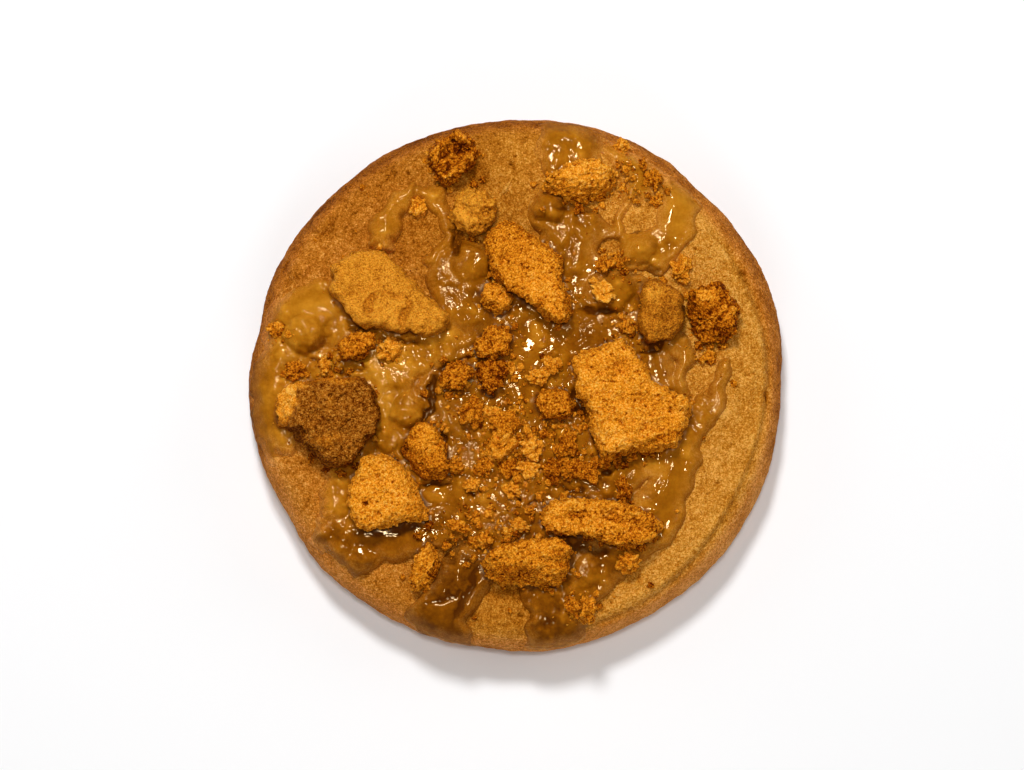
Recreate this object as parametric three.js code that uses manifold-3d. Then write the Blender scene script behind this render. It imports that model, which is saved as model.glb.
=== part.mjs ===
// A thick round cookie with a lumpy biscuit spread smeared over it and broken pieces of biscuit set in the spread.
// Millimetres, +Z up. The origin is the middle of the flat underside, and the views from above have +Y at the top.
import * as THREE from "three";
import Module from "manifold-3d";

const wasm = await Module();
wasm.setup();

// ---- Driving dimensions -------------------------------------------------------------------------------------------

const COOKIE_RADIUS = 53.9; // to the widest point of the edge
const DOUGH_HEIGHT = 17.6; // in the middle, under the spread
const DOME_DROP = 1.5; // how much lower the dough is where its edge begins to turn down
const EDGE_WIDTH = 6.8; // the stretch over which the top turns down to the widest point
const EDGE_DROP = 8.8; // from there down to the widest point
const FOOT_INSET = 2.2; // the underside is this much smaller all round
const EDGE_DENTS = [
  // direction in degrees, depth, half width in degrees
  [168, 1.1, 8],
  [209, 1.0, 8],
  [-1, 0.7, 11],
  [47, 0.7, 11],
  [262, 0.4, 8],
];

const CREASE_RADIUS = 50; // a ring where the dough sank and spread outwards, on the right half only
const CREASE_DEPTH = 0.8;
const CREASE_WIDTH = 0.9;
const CREASE_STEP = 0.6; // the outer ring lies this much lower
const CREASE_FROM = -82; // degrees
const CREASE_TO = 42;

const TOP_RINGS = 31; // mesh rings from the middle of the top to the widest point of the edge
const SIDE_RINGS = 3;

const SEAT_GAP = 0.3; // between a piece of biscuit and the cookie under it
const SEAT_MARGIN = 2.2; // the flat seat reaches this far past the piece, more than one mesh edge
const PIECE_SINK = 0.7; // how deep a piece is pressed into the spread
const PIECE_STEP = 2.3; // mesh spacing along the broken edge of a piece
const ROUGHNESS = 0.42; // random unevenness of a broken edge

// ---- The spread ---------------------------------------------------------------------------------------------------

const LIP_WIDTH = 1.7; // the round shoulder at the edge of the spread

// Each stroke of the spread: its thickness, and the points its middle runs through as [x, y, half width].
const STROKES = {
  pool: [1.5, [[-14, -14, 14], [-2, -6, 18], [8, 4, 17], [10, -14, 17], [-4, -26, 10]]],
  north_pool: [1.8, [[-9, 19, 9], [2, 16, 8], [13, 28, 7.5], [8, 33, 5]]],
  top_sheet: [1.6, [[12, 53, 7], [11, 47, 7], [8.5, 40, 3.6], [6, 34, 3.4]]],
  left_sheet: [1.7, [[-36, 14, 7], [-43, 12.5, 7], [-46, 3, 5.5], [-47, -7, 4.5], [-46, -11.5, 3.2]]],
  left_inner: [1.7, [[-16, 9, 6], [-26, 6, 8], [-32, -4, 13], [-28, -16, 10], [-33, -24, 6]]],
  finger: [3.0, [[-20.6, 39.6, 0.9], [-22.4, 36.5, 2.2], [-24.6, 32.5, 2.6], [-27, 29, 3], [-26, 27, 2]]],
  arc: [1.7, [[-20.5, 39, 1.1], [-16, 37, 2], [-13.8, 33, 1.8], [-13.7, 28, 1.7], [-16.5, 24.5, 1.8]]],
  lower_left: [2.2, [[-22, -29, 6], [-29.5, -31.5, 5.6], [-36, -29.5, 4.6], [-39.5, -32.5, 2.4]]],
  drip: [2.0, [[-29, -34, 3.4], [-31.3, -36, 2.5]]],
  south_west: [2.2, [[-9, -37, 5], [-12, -42, 5], [-15, -46, 5], [-16.5, -51, 4.5]]],
  south_lobe: [1.9, [[13, -27, 6], [5, -36, 7], [9, -44, 5.6], [7.5, -51, 6]]],
  right_band: [2.1, [[35, -8, 4], [32.6, -14, 4.2], [30.8, -21, 4.6], [27, -28, 5.2], [22.5, -32, 4.8]]],
  right_foot: [2.1, [[22.5, -32, 4.8], [15, -38.5, 4.2], [11, -45, 4.5]]],
  under_large: [1.6, [[20, -4, 8], [26, -12, 7]]],
  streak: [1.7, [[41.6, 4.5, 0.8], [40.8, 0, 1.1], [39, -4, 1.7], [36.5, -7.5, 2.6]]],
  tongue: [2.2, [[31, 9, 3], [33.4, 6, 2.3], [33.4, 2, 1.7], [32.6, -3, 1.2]]],
  right_upper: [1.7, [[33, 41, 4], [33.5, 36, 4.2], [31, 30, 4.2], [27.5, 25.8, 4.2], [24, 25, 3.4]]],
  right_mid: [1.6, [[20, 17, 6], [28, 13, 6], [24, 6, 6], [30, -4, 5]]],
  east_top: [1.0, [[21, 47, 3.5], [25, 42, 4.5], [24, 37, 3]]],
  thin_ridge: [2.0, [[23.8, 40, 0.9], [22.8, 36.5, 1.3], [21, 32.5, 1.1], [20, 29.5, 1.5]]],
};

// Gaps in the spread where the bare dough shows: [x, y, half width, half height].
const GAPS = [
  [-19.2, 30.2, 4.2, 5.2],
  [18.6, 27.6, 2.6, 2],
  [25.4, 32.6, 2.6, 2.4],
  [-13, -33.3, 2, 2.6],
  [-16.6, -3.6, 1.2, 4],
  [37.3, 0.5, 2.4, 3.6],
  [-11.6, 28.6, 1, 3],
];

// Round lumps, of coated crumbs in the spread or of the dough itself: [x, y, radius, height].
const LUMPS = [
  [-41.8, 9.8, 4.2, 3],
  [6.6, 35, 3.2, 2.4],
  [24.6, 27, 3.6, 1.8],
  [-21.5, -5.4, 3.4, 1.8],
  [-31, -35.6, 3, 1],
  [-26, -11.5, 2.6, 1.2],
  [20, 18, 3.8, 2],
  [-8.5, 24.5, 4.4, 1.4],
  [-38.8, 32.6, 2.6, 1.2],
  [-43.4, 22.8, 2.2, 0.9],
  [13, -37, 4, 0.9],
  [24.5, 45, 3, 0.8],
];

// ---- Pieces of biscuit --------------------------------------------------------------------------------------------

// Each piece: its corners seen from above, its height, and how it broke. "face" is a sloping broken side: the
// direction it looks in, and how far it leans out. "slope" is how the top rises for each millimetre along x and y.
// "hollow" is the depth of a dished top.
const PIECES = {
  piece_top_left: {
    corners: [[-17.4, 45.4], [-15.5, 48], [-12.2, 50], [-9.3, 49.2], [-7.5, 46.2], [-8.7, 43.8], [-11.8, 40.6],
      [-14.2, 39.4], [-16, 42.2]],
    height: 6.4, hollow: 1.6, color: 0xa9631c,
  },
  piece_top: {
    corners: [[5.4, 38.4], [6.6, 40.4], [9.4, 42.2], [12, 43.8], [15.8, 44.4], [19.6, 41.4], [19.4, 39.4],
      [17.4, 36.3], [13, 35.4], [8.4, 36.4]],
    height: 6.6, face: [0.1, -1, 3.6], slope: [0, 0.12], color: 0xd0871f,
  },
  piece_coated_top: {
    corners: [[-12.9, 33.6], [-12, 36.8], [-9.6, 38.4], [-6.6, 38], [-4, 36.4], [-3.8, 33.4], [-5.2, 30.8],
      [-8.2, 29.4], [-11, 31.2]],
    height: 5.6, slope: [0.1, -0.06], color: 0xc0762a,
  },
  piece_upper_middle: {
    corners: [[-6.3, 28.4], [-4.6, 30.8], [-1.8, 32.1], [2.7, 29.2], [6.3, 27.3], [9.2, 24.6], [8.9, 22], [9.9, 18],
      [10.9, 14], [9.8, 11.7], [7.5, 12.3], [4.1, 15.1], [-0.5, 18], [-3.9, 20.9], [-4.6, 24.4]],
    height: 6.6, slope: [0.06, -0.06], color: 0xc87d20,
  },
  piece_coated_left: {
    corners: [[-37, 18.5], [-36.4, 22.6], [-32.5, 25.7], [-28.1, 26.4], [-24.6, 24.2], [-19.8, 19.9],
      [-16.4, 15.9], [-13, 13.7], [-14.4, 10.4], [-17.8, 8.9], [-21, 10.4], [-24, 10.2], [-27.7, 11.2],
      [-31.2, 11.6], [-34.2, 14.9]],
    height: 6.2, slope: [-0.05, 0], color: 0xc98027,
  },
  piece_small_upper: {
    corners: [[-7, 17.6], [-5.8, 19.3], [-3.9, 19.4], [-2, 17.9], [-0.9, 16.4], [-1.2, 14.6], [-2.8, 13.2],
      [-4.4, 13.4], [-6.6, 15.2]],
    height: 4.4, face: [0, -1, 1.4], color: 0xc9821f,
  },
  piece_small_left: {
    corners: [[-35.2, 7], [-33.5, 9.2], [-30.8, 10.2], [-28.6, 9.6], [-28, 7.6], [-29.4, 5.8], [-31.6, 4.4],
      [-34.2, 4.9]],
    height: 4.2, color: 0xc0701b,
  },
  piece_middle: {
    corners: [[-8.2, 7], [-6.6, 9.4], [-4, 11], [-1.7, 10.7], [-0.8, 8.8], [-1.8, 6.2], [-4, 5], [-7, 5.2]],
    height: 4.6, color: 0xb9681a,
  },
  piece_dark_middle: {
    corners: [[-7.5, 3.2], [-5.6, 4.3], [-3, 4.3], [-1.7, 2.8], [-3, 0], [-4.5, -2.6], [-6.6, -1.4]],
    height: 3.6, hollow: 0.6, color: 0x9c5216,
  },
  piece_middle_left: {
    corners: [[-15, 0.9], [-13.6, 3.1], [-10.8, 4.1], [-8.8, 3.2], [-9, 0.9], [-10.4, -0.7], [-12.6, -1.5],
      [-14.4, -0.6]],
    height: 4, color: 0xb5661a,
  },
  piece_dark_left: {
    corners: [[-47.6, -8.5], [-48, -6], [-46.8, -2.2], [-44, 0], [-38, 0.6], [-31, 0.7], [-28.6, -1.5],
      [-27, -6.5], [-28.2, -10], [-31.5, -14], [-34.5, -16.4], [-37.6, -16.4], [-42, -13], [-44.6, -9.4]],
    height: 7.4, face: [-1, 0.12, 4], slope: [-0.06, 0.08], color: 0x8e5213,
  },
  piece_lower_left: {
    corners: [[-32.8, -24], [-31.5, -17.8], [-29.6, -15.4], [-25.4, -14.6], [-22.5, -16.5], [-20.4, -19],
      [-18.8, -22.5], [-17, -25.2], [-17.2, -27.2], [-21.6, -27.4], [-25, -28.7], [-30.6, -28.7]],
    height: 6.8, face: [1, -0.25, 2.4], slope: [-0.05, 0.02], color: 0xdb8c22,
  },
  piece_lower_middle: {
    corners: [[-22.5, -14], [-20.8, -9.4], [-17.2, -8.3], [-15.6, -10.2], [-14, -13.6], [-13.4, -18],
      [-15.2, -19.1], [-18.6, -19.3], [-20.4, -17.4]],
    height: 5.8, face: [-0.5, -0.9, 2.6], color: 0xbf7018,
  },
  piece_small_right: {
    corners: [[3.6, -3.8], [5.2, -2], [9.6, -1.6], [11.6, -4.4], [11.2, -6.4], [9, -7.3], [6, -6.9]],
    height: 4.4, color: 0xc0711a,
  },
  piece_large_right: {
    corners: [[11.4, 4.4], [15.2, 6.2], [20.6, 8], [24, 5], [26.4, 0.8], [31.4, -3], [34.7, -5], [33.4, -9.5],
      [31.6, -12.8], [26, -13.6], [20.6, -14.6], [18.2, -16.5], [16.6, -13.4], [15, -7.6], [12.4, -1.8]],
    height: 7.2, face: [0.15, -1, 1.2], slope: [-0.02, 0.05], color: 0xd98a20,
  },
  piece_coated_right: {
    corners: [[25.4, 19.6], [28, 20.6], [31, 19.2], [33, 16.4], [33, 11.4], [30.8, 9], [26.2, 7.3], [25, 10],
      [24.9, 15.4]],
    height: 5.8, slope: [0.04, 0.06], color: 0xa5601a,
  },
  piece_far_right: {
    corners: [[34.2, 12.4], [34.4, 17.4], [37.4, 18.2], [40.8, 20], [42.4, 17], [44, 14.6], [43, 9.6],
      [41.6, 7.6], [37.2, 7.8], [35.2, 9.8]],
    height: 6.2, face: [-0.6, -0.8, 3.4], color: 0xa3591a,
  },
  piece_long_lower: {
    corners: [[5, -27.8], [5.8, -24.8], [8, -23.4], [14, -23.2], [22, -24.2], [26, -26.2], [28.6, -28.6],
      [27, -31.2], [22.6, -32.8], [17, -30.9], [8, -29.7]],
    height: 6.6, slope: [-0.05, 0.05], hollow: 0.5, color: 0xcf8420,
  },
  piece_bottom: {
    corners: [[-6.2, -36.6], [-4.4, -34], [1, -31.6], [8.6, -31.1], [11.2, -33.8], [10.4, -37], [8.4, -40.8],
      [4, -40.6], [-3, -40.5], [-5.8, -39]],
    height: 6.6, face: [0, -1, 4], slope: [0, 0.1], color: 0xc57a1d,
  },
  piece_small_bottom: {
    corners: [[-20.6, -37], [-19.4, -34], [-16.8, -31.9], [-15.2, -34], [-14.8, -37.5], [-16.2, -40.2],
      [-19.4, -41.2], [-20.4, -39.4]],
    height: 5, face: [1, -0.3, 1.8], color: 0xc87c1d,
  },
};

// ---- Crumbs fused to the cookie -----------------------------------------------------------------------------------

// The crumbs that stand out, as [x, y, radius]; finer ones are scattered between them.
const CRUMBS = [
  [3.3, -13, 2.5], [-3.4, -12.6, 2.3], [-2, -8.2, 2.6], [-4.8, -6.2, 1.7], [-8.8, -5.8, 2.3], [10, -12, 2.2],
  [14.6, -17.3, 2], [11.2, -17, 1.8], [7.6, -17.6, 1.7], [2.4, -17, 2], [-1, -17.4, 1.5], [-6.4, -16.4, 1.5],
  [-11.6, -16.4, 1.9], [-8.8, -20.2, 1.9], [-0.6, -21.4, 1.7], [0.8, -28.2, 1.9], [-11.4, -28.4, 1.7],
  [-6.4, -31.4, 1.8], [14.2, -45, 2.2], [11.4, -44.4, 1.5], [22.3, -35.8, 2.1], [21.4, -21.2, 1.9],
  [-24.6, 6.6, 1.9], [-44, 2.4, 1.8], [-38, 3, 1.8], [-19.6, 35.4, 1.5], [22.3, 11.2, 2], [17.4, 18.2, 2],
  [32.8, 22.6, 2.1], [38.8, 5.4, 1.5], [17.4, 23.6, 1.5], [20.4, 23.6, 1.5], [7.2, 3.2, 1.9], [4.6, 1.2, 1.4],
  [27.4, 40.8, 1.5], [28.4, 36.4, 1.4], [21, 47.4, 1.3], [25.4, 43.6, 1.3], [-47.8, 10.8, 1.4],
];
const CRUMB_ROOT = 1.6; // a crumb stands on the lowest point this near to it
const SCATTERED_CRUMBS = 16;
const SCATTER_RADIUS = [0.9, 1.3];
const SCATTER_AREA = { x: -2, y: -12, radius: 19 };

// ---- Small tools --------------------------------------------------------------------------------------------------

const radians = (degrees) => (degrees * Math.PI) / 180;
const clamp01 = (value) => Math.min(1, Math.max(0, value));
const smoothStep = (value) => clamp01(value) ** 2 * (3 - 2 * clamp01(value));

// A repeatable draw between 0 and 1.
function seededRandom(seed) {
  let state = seed;
  return () => {
    state = (Math.imul(state, 1664525) + 1013904223) >>> 0;
    return state / 2 ** 32;
  };
}

// Distance of a point from an outline, negative inside it.
function outlineDistance(outline, x, y) {
  let nearest = Infinity;
  let inside = false;
  outline.forEach(([ax, ay], i) => {
    const [bx, by] = outline[(i + 1) % outline.length];
    const along = clamp01(((x - ax) * (bx - ax) + (y - ay) * (by - ay)) / ((bx - ax) ** 2 + (by - ay) ** 2));
    nearest = Math.min(nearest, Math.hypot(x - ax - along * (bx - ax), y - ay - along * (by - ay)));
    if (ay > y !== by > y && x < ((bx - ax) * (y - ay)) / (by - ay) + ax) inside = !inside;
  });
  return inside ? -nearest : nearest;
}

// A closed solid from its points and its triangles.
function solidOf(points, triangles) {
  return new wasm.Manifold(
    new wasm.Mesh({
      numProp: 3,
      vertProperties: new Float32Array(points.flat()),
      triVerts: new Uint32Array(triangles.flat()),
    }),
  );
}

// A mesh to show, from a solid.
function meshOf(solid, name, color, roughness) {
  const { vertProperties, triVerts } = solid.getMesh();
  const geometry = new THREE.BufferGeometry();
  geometry.setAttribute("position", new THREE.BufferAttribute(new Float32Array(vertProperties), 3));
  geometry.setIndex(new THREE.BufferAttribute(new Uint32Array(triVerts), 1));
  geometry.computeVertexNormals();
  const material = new THREE.MeshStandardMaterial({ color, roughness, metalness: 0, flatShading: true });
  const mesh = new THREE.Mesh(geometry, material);
  mesh.name = name;
  return mesh;
}

// Triangles between two rings of the same number of points, the first ring lying inside or above the second.
function band(first, second, count) {
  const triangles = [];
  for (let i = 0; i < count; i++) {
    const next = (i + 1) % count;
    triangles.push([first + i, second + i, second + next], [first + i, second + next, first + next]);
  }
  return triangles;
}

// ---- Surface of the cookie ----------------------------------------------------------------------------------------

function edgeRadius(angle) {
  const waves = 0.35 * Math.sin(2 * angle + 0.6) + 0.25 * Math.sin(3 * angle - 1) + 0.15 * Math.sin(7 * angle);
  let radius = COOKIE_RADIUS + waves;
  for (const [direction, depth, halfWidth] of EDGE_DENTS) {
    const turn = Math.atan2(Math.sin(angle - radians(direction)), Math.cos(angle - radians(direction)));
    radius -= depth * Math.exp(-((turn / radians(halfWidth)) ** 2));
  }
  return radius;
}

const edgePoint = (angle) => [edgeRadius(angle) * Math.cos(angle), edgeRadius(angle) * Math.sin(angle)];

// The middle of the uneven outline, which is moved onto the origin.
const edgeMiddle = [0, 1].map((axis) => {
  const reach = Array.from({ length: 6 * TOP_RINGS }, (_, i) => edgePoint((i / (3 * TOP_RINGS)) * Math.PI)[axis]);
  return (Math.max(...reach) + Math.min(...reach)) / 2;
});

function creaseDrop(x, y) {
  const degrees = THREE.MathUtils.radToDeg(Math.atan2(y, x));
  const strength = smoothStep((degrees - CREASE_FROM) / 18) * smoothStep((CREASE_TO - degrees) / 18);
  const past = Math.hypot(x, y) - CREASE_RADIUS - 0.7 * Math.sin(radians(degrees) * 5 + 0.8);
  const groove = CREASE_DEPTH * Math.exp(-((past / CREASE_WIDTH) ** 2));
  return strength * (groove + CREASE_STEP * smoothStep(past / 1.6 + 0.5));
}

function lumpHeight(x, y) {
  let height = 0;
  for (const [lumpX, lumpY, radius, lump] of LUMPS) {
    const away = clamp01(Math.hypot(x - lumpX, y - lumpY) / radius);
    height = Math.max(height, lump * Math.sqrt(1 - away * away));
  }
  return height;
}

function doughHeight(x, y) {
  const flatRadius = COOKIE_RADIUS - EDGE_WIDTH;
  const share = Math.min(1, Math.hypot(x, y) / flatRadius);
  const waves = 0.3 * Math.sin(0.21 * x + 0.4) * Math.sin(0.17 * y + 1.1) + 0.18 * Math.sin(0.47 * x - 0.33 * y);
  return DOUGH_HEIGHT - DOME_DROP * share ** 2 + waves - creaseDrop(x, y);
}

function strokeDepth(x, y, path) {
  let depth = -Infinity;
  for (let i = 0; i + 1 < path.length; i++) {
    const [ax, ay, aWidth] = path[i];
    const [bx, by, bWidth] = path[i + 1];
    const along = clamp01(((x - ax) * (bx - ax) + (y - ay) * (by - ay)) / ((bx - ax) ** 2 + (by - ay) ** 2));
    const away = Math.hypot(x - ax - along * (bx - ax), y - ay - along * (by - ay));
    depth = Math.max(depth, aWidth + along * (bWidth - aWidth) - away);
  }
  return depth;
}

// The round shoulder of the spread, from 0 at its edge to 1.
function shoulder(depth) {
  const share = clamp01(depth / LIP_WIDTH);
  return Math.sqrt(share * (2 - share));
}

function spreadHeight(trueX, trueY) {
  const x = trueX + 0.5 * Math.sin(0.55 * trueY + 1.3) + 0.3 * Math.sin(1.25 * trueY - 0.4 * trueX + 0.5);
  const y = trueY + 0.5 * Math.sin(0.5 * trueX - 0.7) + 0.3 * Math.sin(1.15 * trueX + 0.5 * trueY + 2.1);
  let height = 0;
  for (const [thickness, path] of Object.values(STROKES))
    height = Math.max(height, thickness * shoulder(strokeDepth(x, y, path)));
  for (const [gapX, gapY, halfWidth, halfHeight] of GAPS) {
    const away = Math.hypot((x - gapX) / halfWidth, (y - gapY) / halfHeight);
    height *= 1 - shoulder((1 - away) * Math.min(halfWidth, halfHeight));
  }
  return height;
}

function topHeight(x, y) {
  return doughHeight(x, y) + spreadHeight(x, y) + lumpHeight(x, y);
}

// ---- Seats --------------------------------------------------------------------------------------------------------

// The plane that a piece of biscuit lies on: the mean plane of the cookie's top under it, pressed in a little.
function seatOf(corners) {
  const middle = [0, 1].map((axis) => corners.reduce((sum, corner) => sum + corner[axis], 0) / corners.length);
  const samples = [];
  for (const share of [0, 0.45, 0.9])
    for (const [x, y] of corners) {
      const dx = (x - middle[0]) * share;
      const dy = (y - middle[1]) * share;
      samples.push([dx, dy, topHeight(middle[0] + dx, middle[1] + dy)]);
    }
  const mean = samples.reduce((sum, sample) => sum + sample[2], 0) / samples.length;
  const total = (a, b) => samples.reduce((sum, sample) => sum + a(sample) * b(sample), 0);
  const [dx, dy, dz] = [(s) => s[0], (s) => s[1], (s) => s[2] - mean];
  const [xx, xy, yy, xz, yz] = [total(dx, dx), total(dx, dy), total(dy, dy), total(dx, dz), total(dy, dz)];
  const determinant = xx * yy - xy * xy;
  const slopeX = (xz * yy - yz * xy) / determinant;
  const slopeY = (yz * xx - xz * xy) / determinant;
  return { middle, height: (x, y) => mean - PIECE_SINK + slopeX * (x - middle[0]) + slopeY * (y - middle[1]) };
}

const seats = Object.values(PIECES).map(({ corners }) => ({ corners, ...seatOf(corners) }));

function seatedHeight(x, y) {
  let height = topHeight(x, y);
  for (const { corners, height: seatHeight } of seats)
    if (outlineDistance(corners, x, y) < SEAT_MARGIN) height = Math.min(height, seatHeight(x, y) - SEAT_GAP);
  return height;
}

// ---- Cookie -------------------------------------------------------------------------------------------------------

// How far a ring of the mesh is from the middle, and how far the edge has turned down there.
function ringShape(ring) {
  const flatLength = COOKIE_RADIUS - EDGE_WIDTH;
  const edgeLength = ((EDGE_WIDTH + EDGE_DROP) / 2) * (Math.PI / 2);
  const distance = (ring / TOP_RINGS) * (flatLength + edgeLength);
  const turn = Math.max(0, (distance - flatLength) / edgeLength) * (Math.PI / 2);
  return {
    share: (Math.min(distance, flatLength) + EDGE_WIDTH * Math.sin(turn)) / COOKIE_RADIUS,
    drop: EDGE_DROP * (1 - Math.cos(turn)),
  };
}

// Ring k holds 6k points, so the mesh is equally fine all over the disc.
function topOfCookie() {
  const points = [[0, 0, seatedHeight(0, 0)]];
  for (let ring = 1; ring <= TOP_RINGS; ring++) {
    const { share, drop } = ringShape(ring);
    for (let i = 0; i < 6 * ring; i++) {
      const edge = edgePoint((i / (3 * ring)) * Math.PI);
      const x = (edge[0] - edgeMiddle[0]) * share;
      const y = (edge[1] - edgeMiddle[1]) * share;
      points.push([x, y, seatedHeight(x, y) - drop]);
    }
  }
  const index = (ring, i) => (ring === 0 ? 0 : 1 + 3 * ring * (ring - 1) + (i % (6 * ring)));
  const triangles = [];
  for (let ring = 0; ring < TOP_RINGS; ring++)
    for (let sector = 0; sector < 6; sector++)
      for (let i = 0; i <= ring; i++) {
        const inner = sector * ring + i;
        const outer = sector * (ring + 1) + i;
        triangles.push([index(ring, inner), index(ring + 1, outer), index(ring + 1, outer + 1)]);
        if (i < ring)
          triangles.push([index(ring, inner), index(ring + 1, outer + 1), index(ring, inner + 1)]);
      }
  return { points, triangles };
}

function bareCookie() {
  const { points, triangles } = topOfCookie();
  const count = 6 * TOP_RINGS;
  let above = points.length - count;
  const widest = points.slice(above);
  for (let ring = 1; ring <= SIDE_RINGS; ring++) {
    const turn = (ring / SIDE_RINGS) * (Math.PI / 2);
    const below = points.length;
    for (const [x, y, z] of widest) {
      const share = 1 - (FOOT_INSET * (1 - Math.cos(turn))) / Math.hypot(x, y);
      points.push([x * share, y * share, z * (1 - Math.sin(turn))]);
    }
    triangles.push(...band(above, below, count));
    above = below;
  }
  points.push([0, 0, 0]);
  for (let i = 0; i < count; i++) triangles.push([points.length - 1, above + ((i + 1) % count), above + i]);
  return solidOf(points, triangles);
}

// The lowest the top is at a point and around it, where a crumb is sure to be rooted.
function lowestNear(x, y) {
  let height = seatedHeight(x, y);
  for (let angle = 0; angle < 2 * Math.PI; angle += Math.PI / 4)
    height = Math.min(height, seatedHeight(x + CRUMB_ROOT * Math.cos(angle), y + CRUMB_ROOT * Math.sin(angle)));
  return height;
}

// An uneven lump with 20 faces, half sunk in what it lies on.
function crumb(x, y, radius, random) {
  const shape = new THREE.IcosahedronGeometry(radius, 0);
  shape.rotateX(random() * 3);
  shape.rotateZ(random() * 6);
  const corners = new Map();
  const points = [];
  const triangles = [];
  const position = shape.getAttribute("position");
  const middleHeight = lowestNear(x, y) + 0.3 * radius;
  for (let i = 0; i < position.count; i++) {
    const corner = [position.getX(i), position.getY(i), position.getZ(i)];
    const key = corner.map((value) => value.toFixed(3)).join();
    if (!corners.has(key)) {
      const size = 0.82 + 0.36 * random();
      corners.set(key, points.length);
      points.push([x + corner[0] * size, y + corner[1] * size, middleHeight + corner[2] * size * 0.85]);
    }
    if (i % 3 === 0) triangles.push([]);
    triangles[triangles.length - 1].push(corners.get(key));
  }
  return solidOf(points, triangles);
}

const clearOfPieces = (x, y, radius) =>
  seats.every(({ corners }) => outlineDistance(corners, x, y) > radius * 1.2 + SEAT_GAP);

function crumbs() {
  const random = seededRandom(7);
  const placed = CRUMBS.filter(([x, y, radius]) => clearOfPieces(x, y, radius));
  const clearOfCrumbs = (x, y, radius) =>
    placed.every(([otherX, otherY, other]) => Math.hypot(x - otherX, y - otherY) > (radius + other) * 1.3);
  const wanted = placed.length + SCATTERED_CRUMBS;
  while (placed.length < wanted) {
    const away = SCATTER_AREA.radius * Math.sqrt(random());
    const angle = random() * 2 * Math.PI;
    const x = SCATTER_AREA.x + away * Math.cos(angle);
    const y = SCATTER_AREA.y + away * Math.sin(angle);
    const radius = THREE.MathUtils.lerp(...SCATTER_RADIUS, random());
    if (clearOfPieces(x, y, radius) && clearOfCrumbs(x, y, radius)) placed.push([x, y, radius]);
  }
  return placed.map(([x, y, radius]) => crumb(x, y, radius, random));
}

function cookie() {
  let solid = bareCookie();
  for (const one of crumbs()) solid = solid.add(one);
  const [whole] = solid.decompose().sort((a, b) => b.volume() - a.volume());
  return meshOf(whole, "cookie", 0xb4741f, 0.6);
}

// ---- Pieces of biscuit --------------------------------------------------------------------------------------------

// The outline with extra points along its sides, each moved a little at random.
function brokenOutline(corners, random) {
  const outline = [];
  corners.forEach(([ax, ay], i) => {
    const [bx, by] = corners[(i + 1) % corners.length];
    const steps = Math.max(1, Math.round(Math.hypot(bx - ax, by - ay) / PIECE_STEP));
    for (let step = 0; step < steps; step++) {
      const share = step / steps;
      const nudge = () => (step === 0 ? 0 : (random() - 0.5) * 2 * ROUGHNESS);
      outline.push([ax + (bx - ax) * share + nudge(), ay + (by - ay) * share + nudge()]);
    }
  });
  return outline;
}

// Draws the outline in from the side that the sloping face looks to, and then a little from all sides.
function drawnIn(outline, middle, face, reach, inset) {
  const [faceX, faceY] = face;
  const along = ([x, y]) => (x - middle[0]) * faceX + (y - middle[1]) * faceY;
  const far = Math.min(...outline.map(along));
  const length = Math.max(...outline.map(along)) - far;
  return outline.map(([x, y]) => {
    const shift = (-reach * (along([x, y]) - far)) / length;
    const share = 1 - inset / Math.hypot(x - middle[0], y - middle[1]);
    return [middle[0] + (x - middle[0]) * share + faceX * shift, middle[1] + (y - middle[1]) * share + faceY * shift];
  });
}

function pieceOfBiscuit(name, { corners, height, face = [0, -1, 0], slope = [0, 0], hollow = 0, color }, seed) {
  const random = seededRandom(seed);
  const clockwise = corners.reduce((sum, [x, y], i) => {
    const [nextX, nextY] = corners[(i + 1) % corners.length];
    return sum + x * nextY - nextX * y;
  }, 0) < 0;
  const outline = brokenOutline(clockwise ? [...corners].reverse() : corners, random);
  const seat = seatOf(corners);
  const { middle } = seat;
  const [faceX, faceY, reach] = face;
  const toFace = [faceX / Math.hypot(faceX, faceY), faceY / Math.hypot(faceX, faceY)];
  const topRise = (x, y) => slope[0] * (x - middle[0]) + slope[1] * (y - middle[1]);
  const points = [];
  // Each level of the side: its share of the height, its share of the sloping face, and how far it is drawn in.
  const levels = [
    { up: 1, leaning: 1, inset: 1.1 },
    { up: 0.84, leaning: 0.75, inset: 0.25 },
    { up: 0.4, leaning: 0.2, inset: 0 },
    { up: 0, leaning: 0, inset: 0.5 },
  ];
  for (const { up, leaning, inset } of levels)
    for (const [x, y] of drawnIn(outline, middle, toFace, reach * leaning || 0, inset)) {
      const unevenness = up === 0 ? 0 : (random() - 0.5) * 0.7;
      points.push([x, y, seat.height(x, y) + up * (height + topRise(x, y)) + unevenness]);
    }
  const count = outline.length;
  const triangles = [];
  for (let level = 0; level + 1 < levels.length; level++)
    triangles.push(...band(level * count, (level + 1) * count, count));
  triangles.push(...capOfPiece(points, count, hollow, random));
  const floor = (levels.length - 1) * count;
  points.push([middle[0], middle[1], seat.height(...middle)]);
  for (let i = 0; i < count; i++) triangles.push([points.length - 1, floor + ((i + 1) % count), floor + i]);
  return meshOf(solidOf(points, triangles), name, color, 0.9);
}

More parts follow.
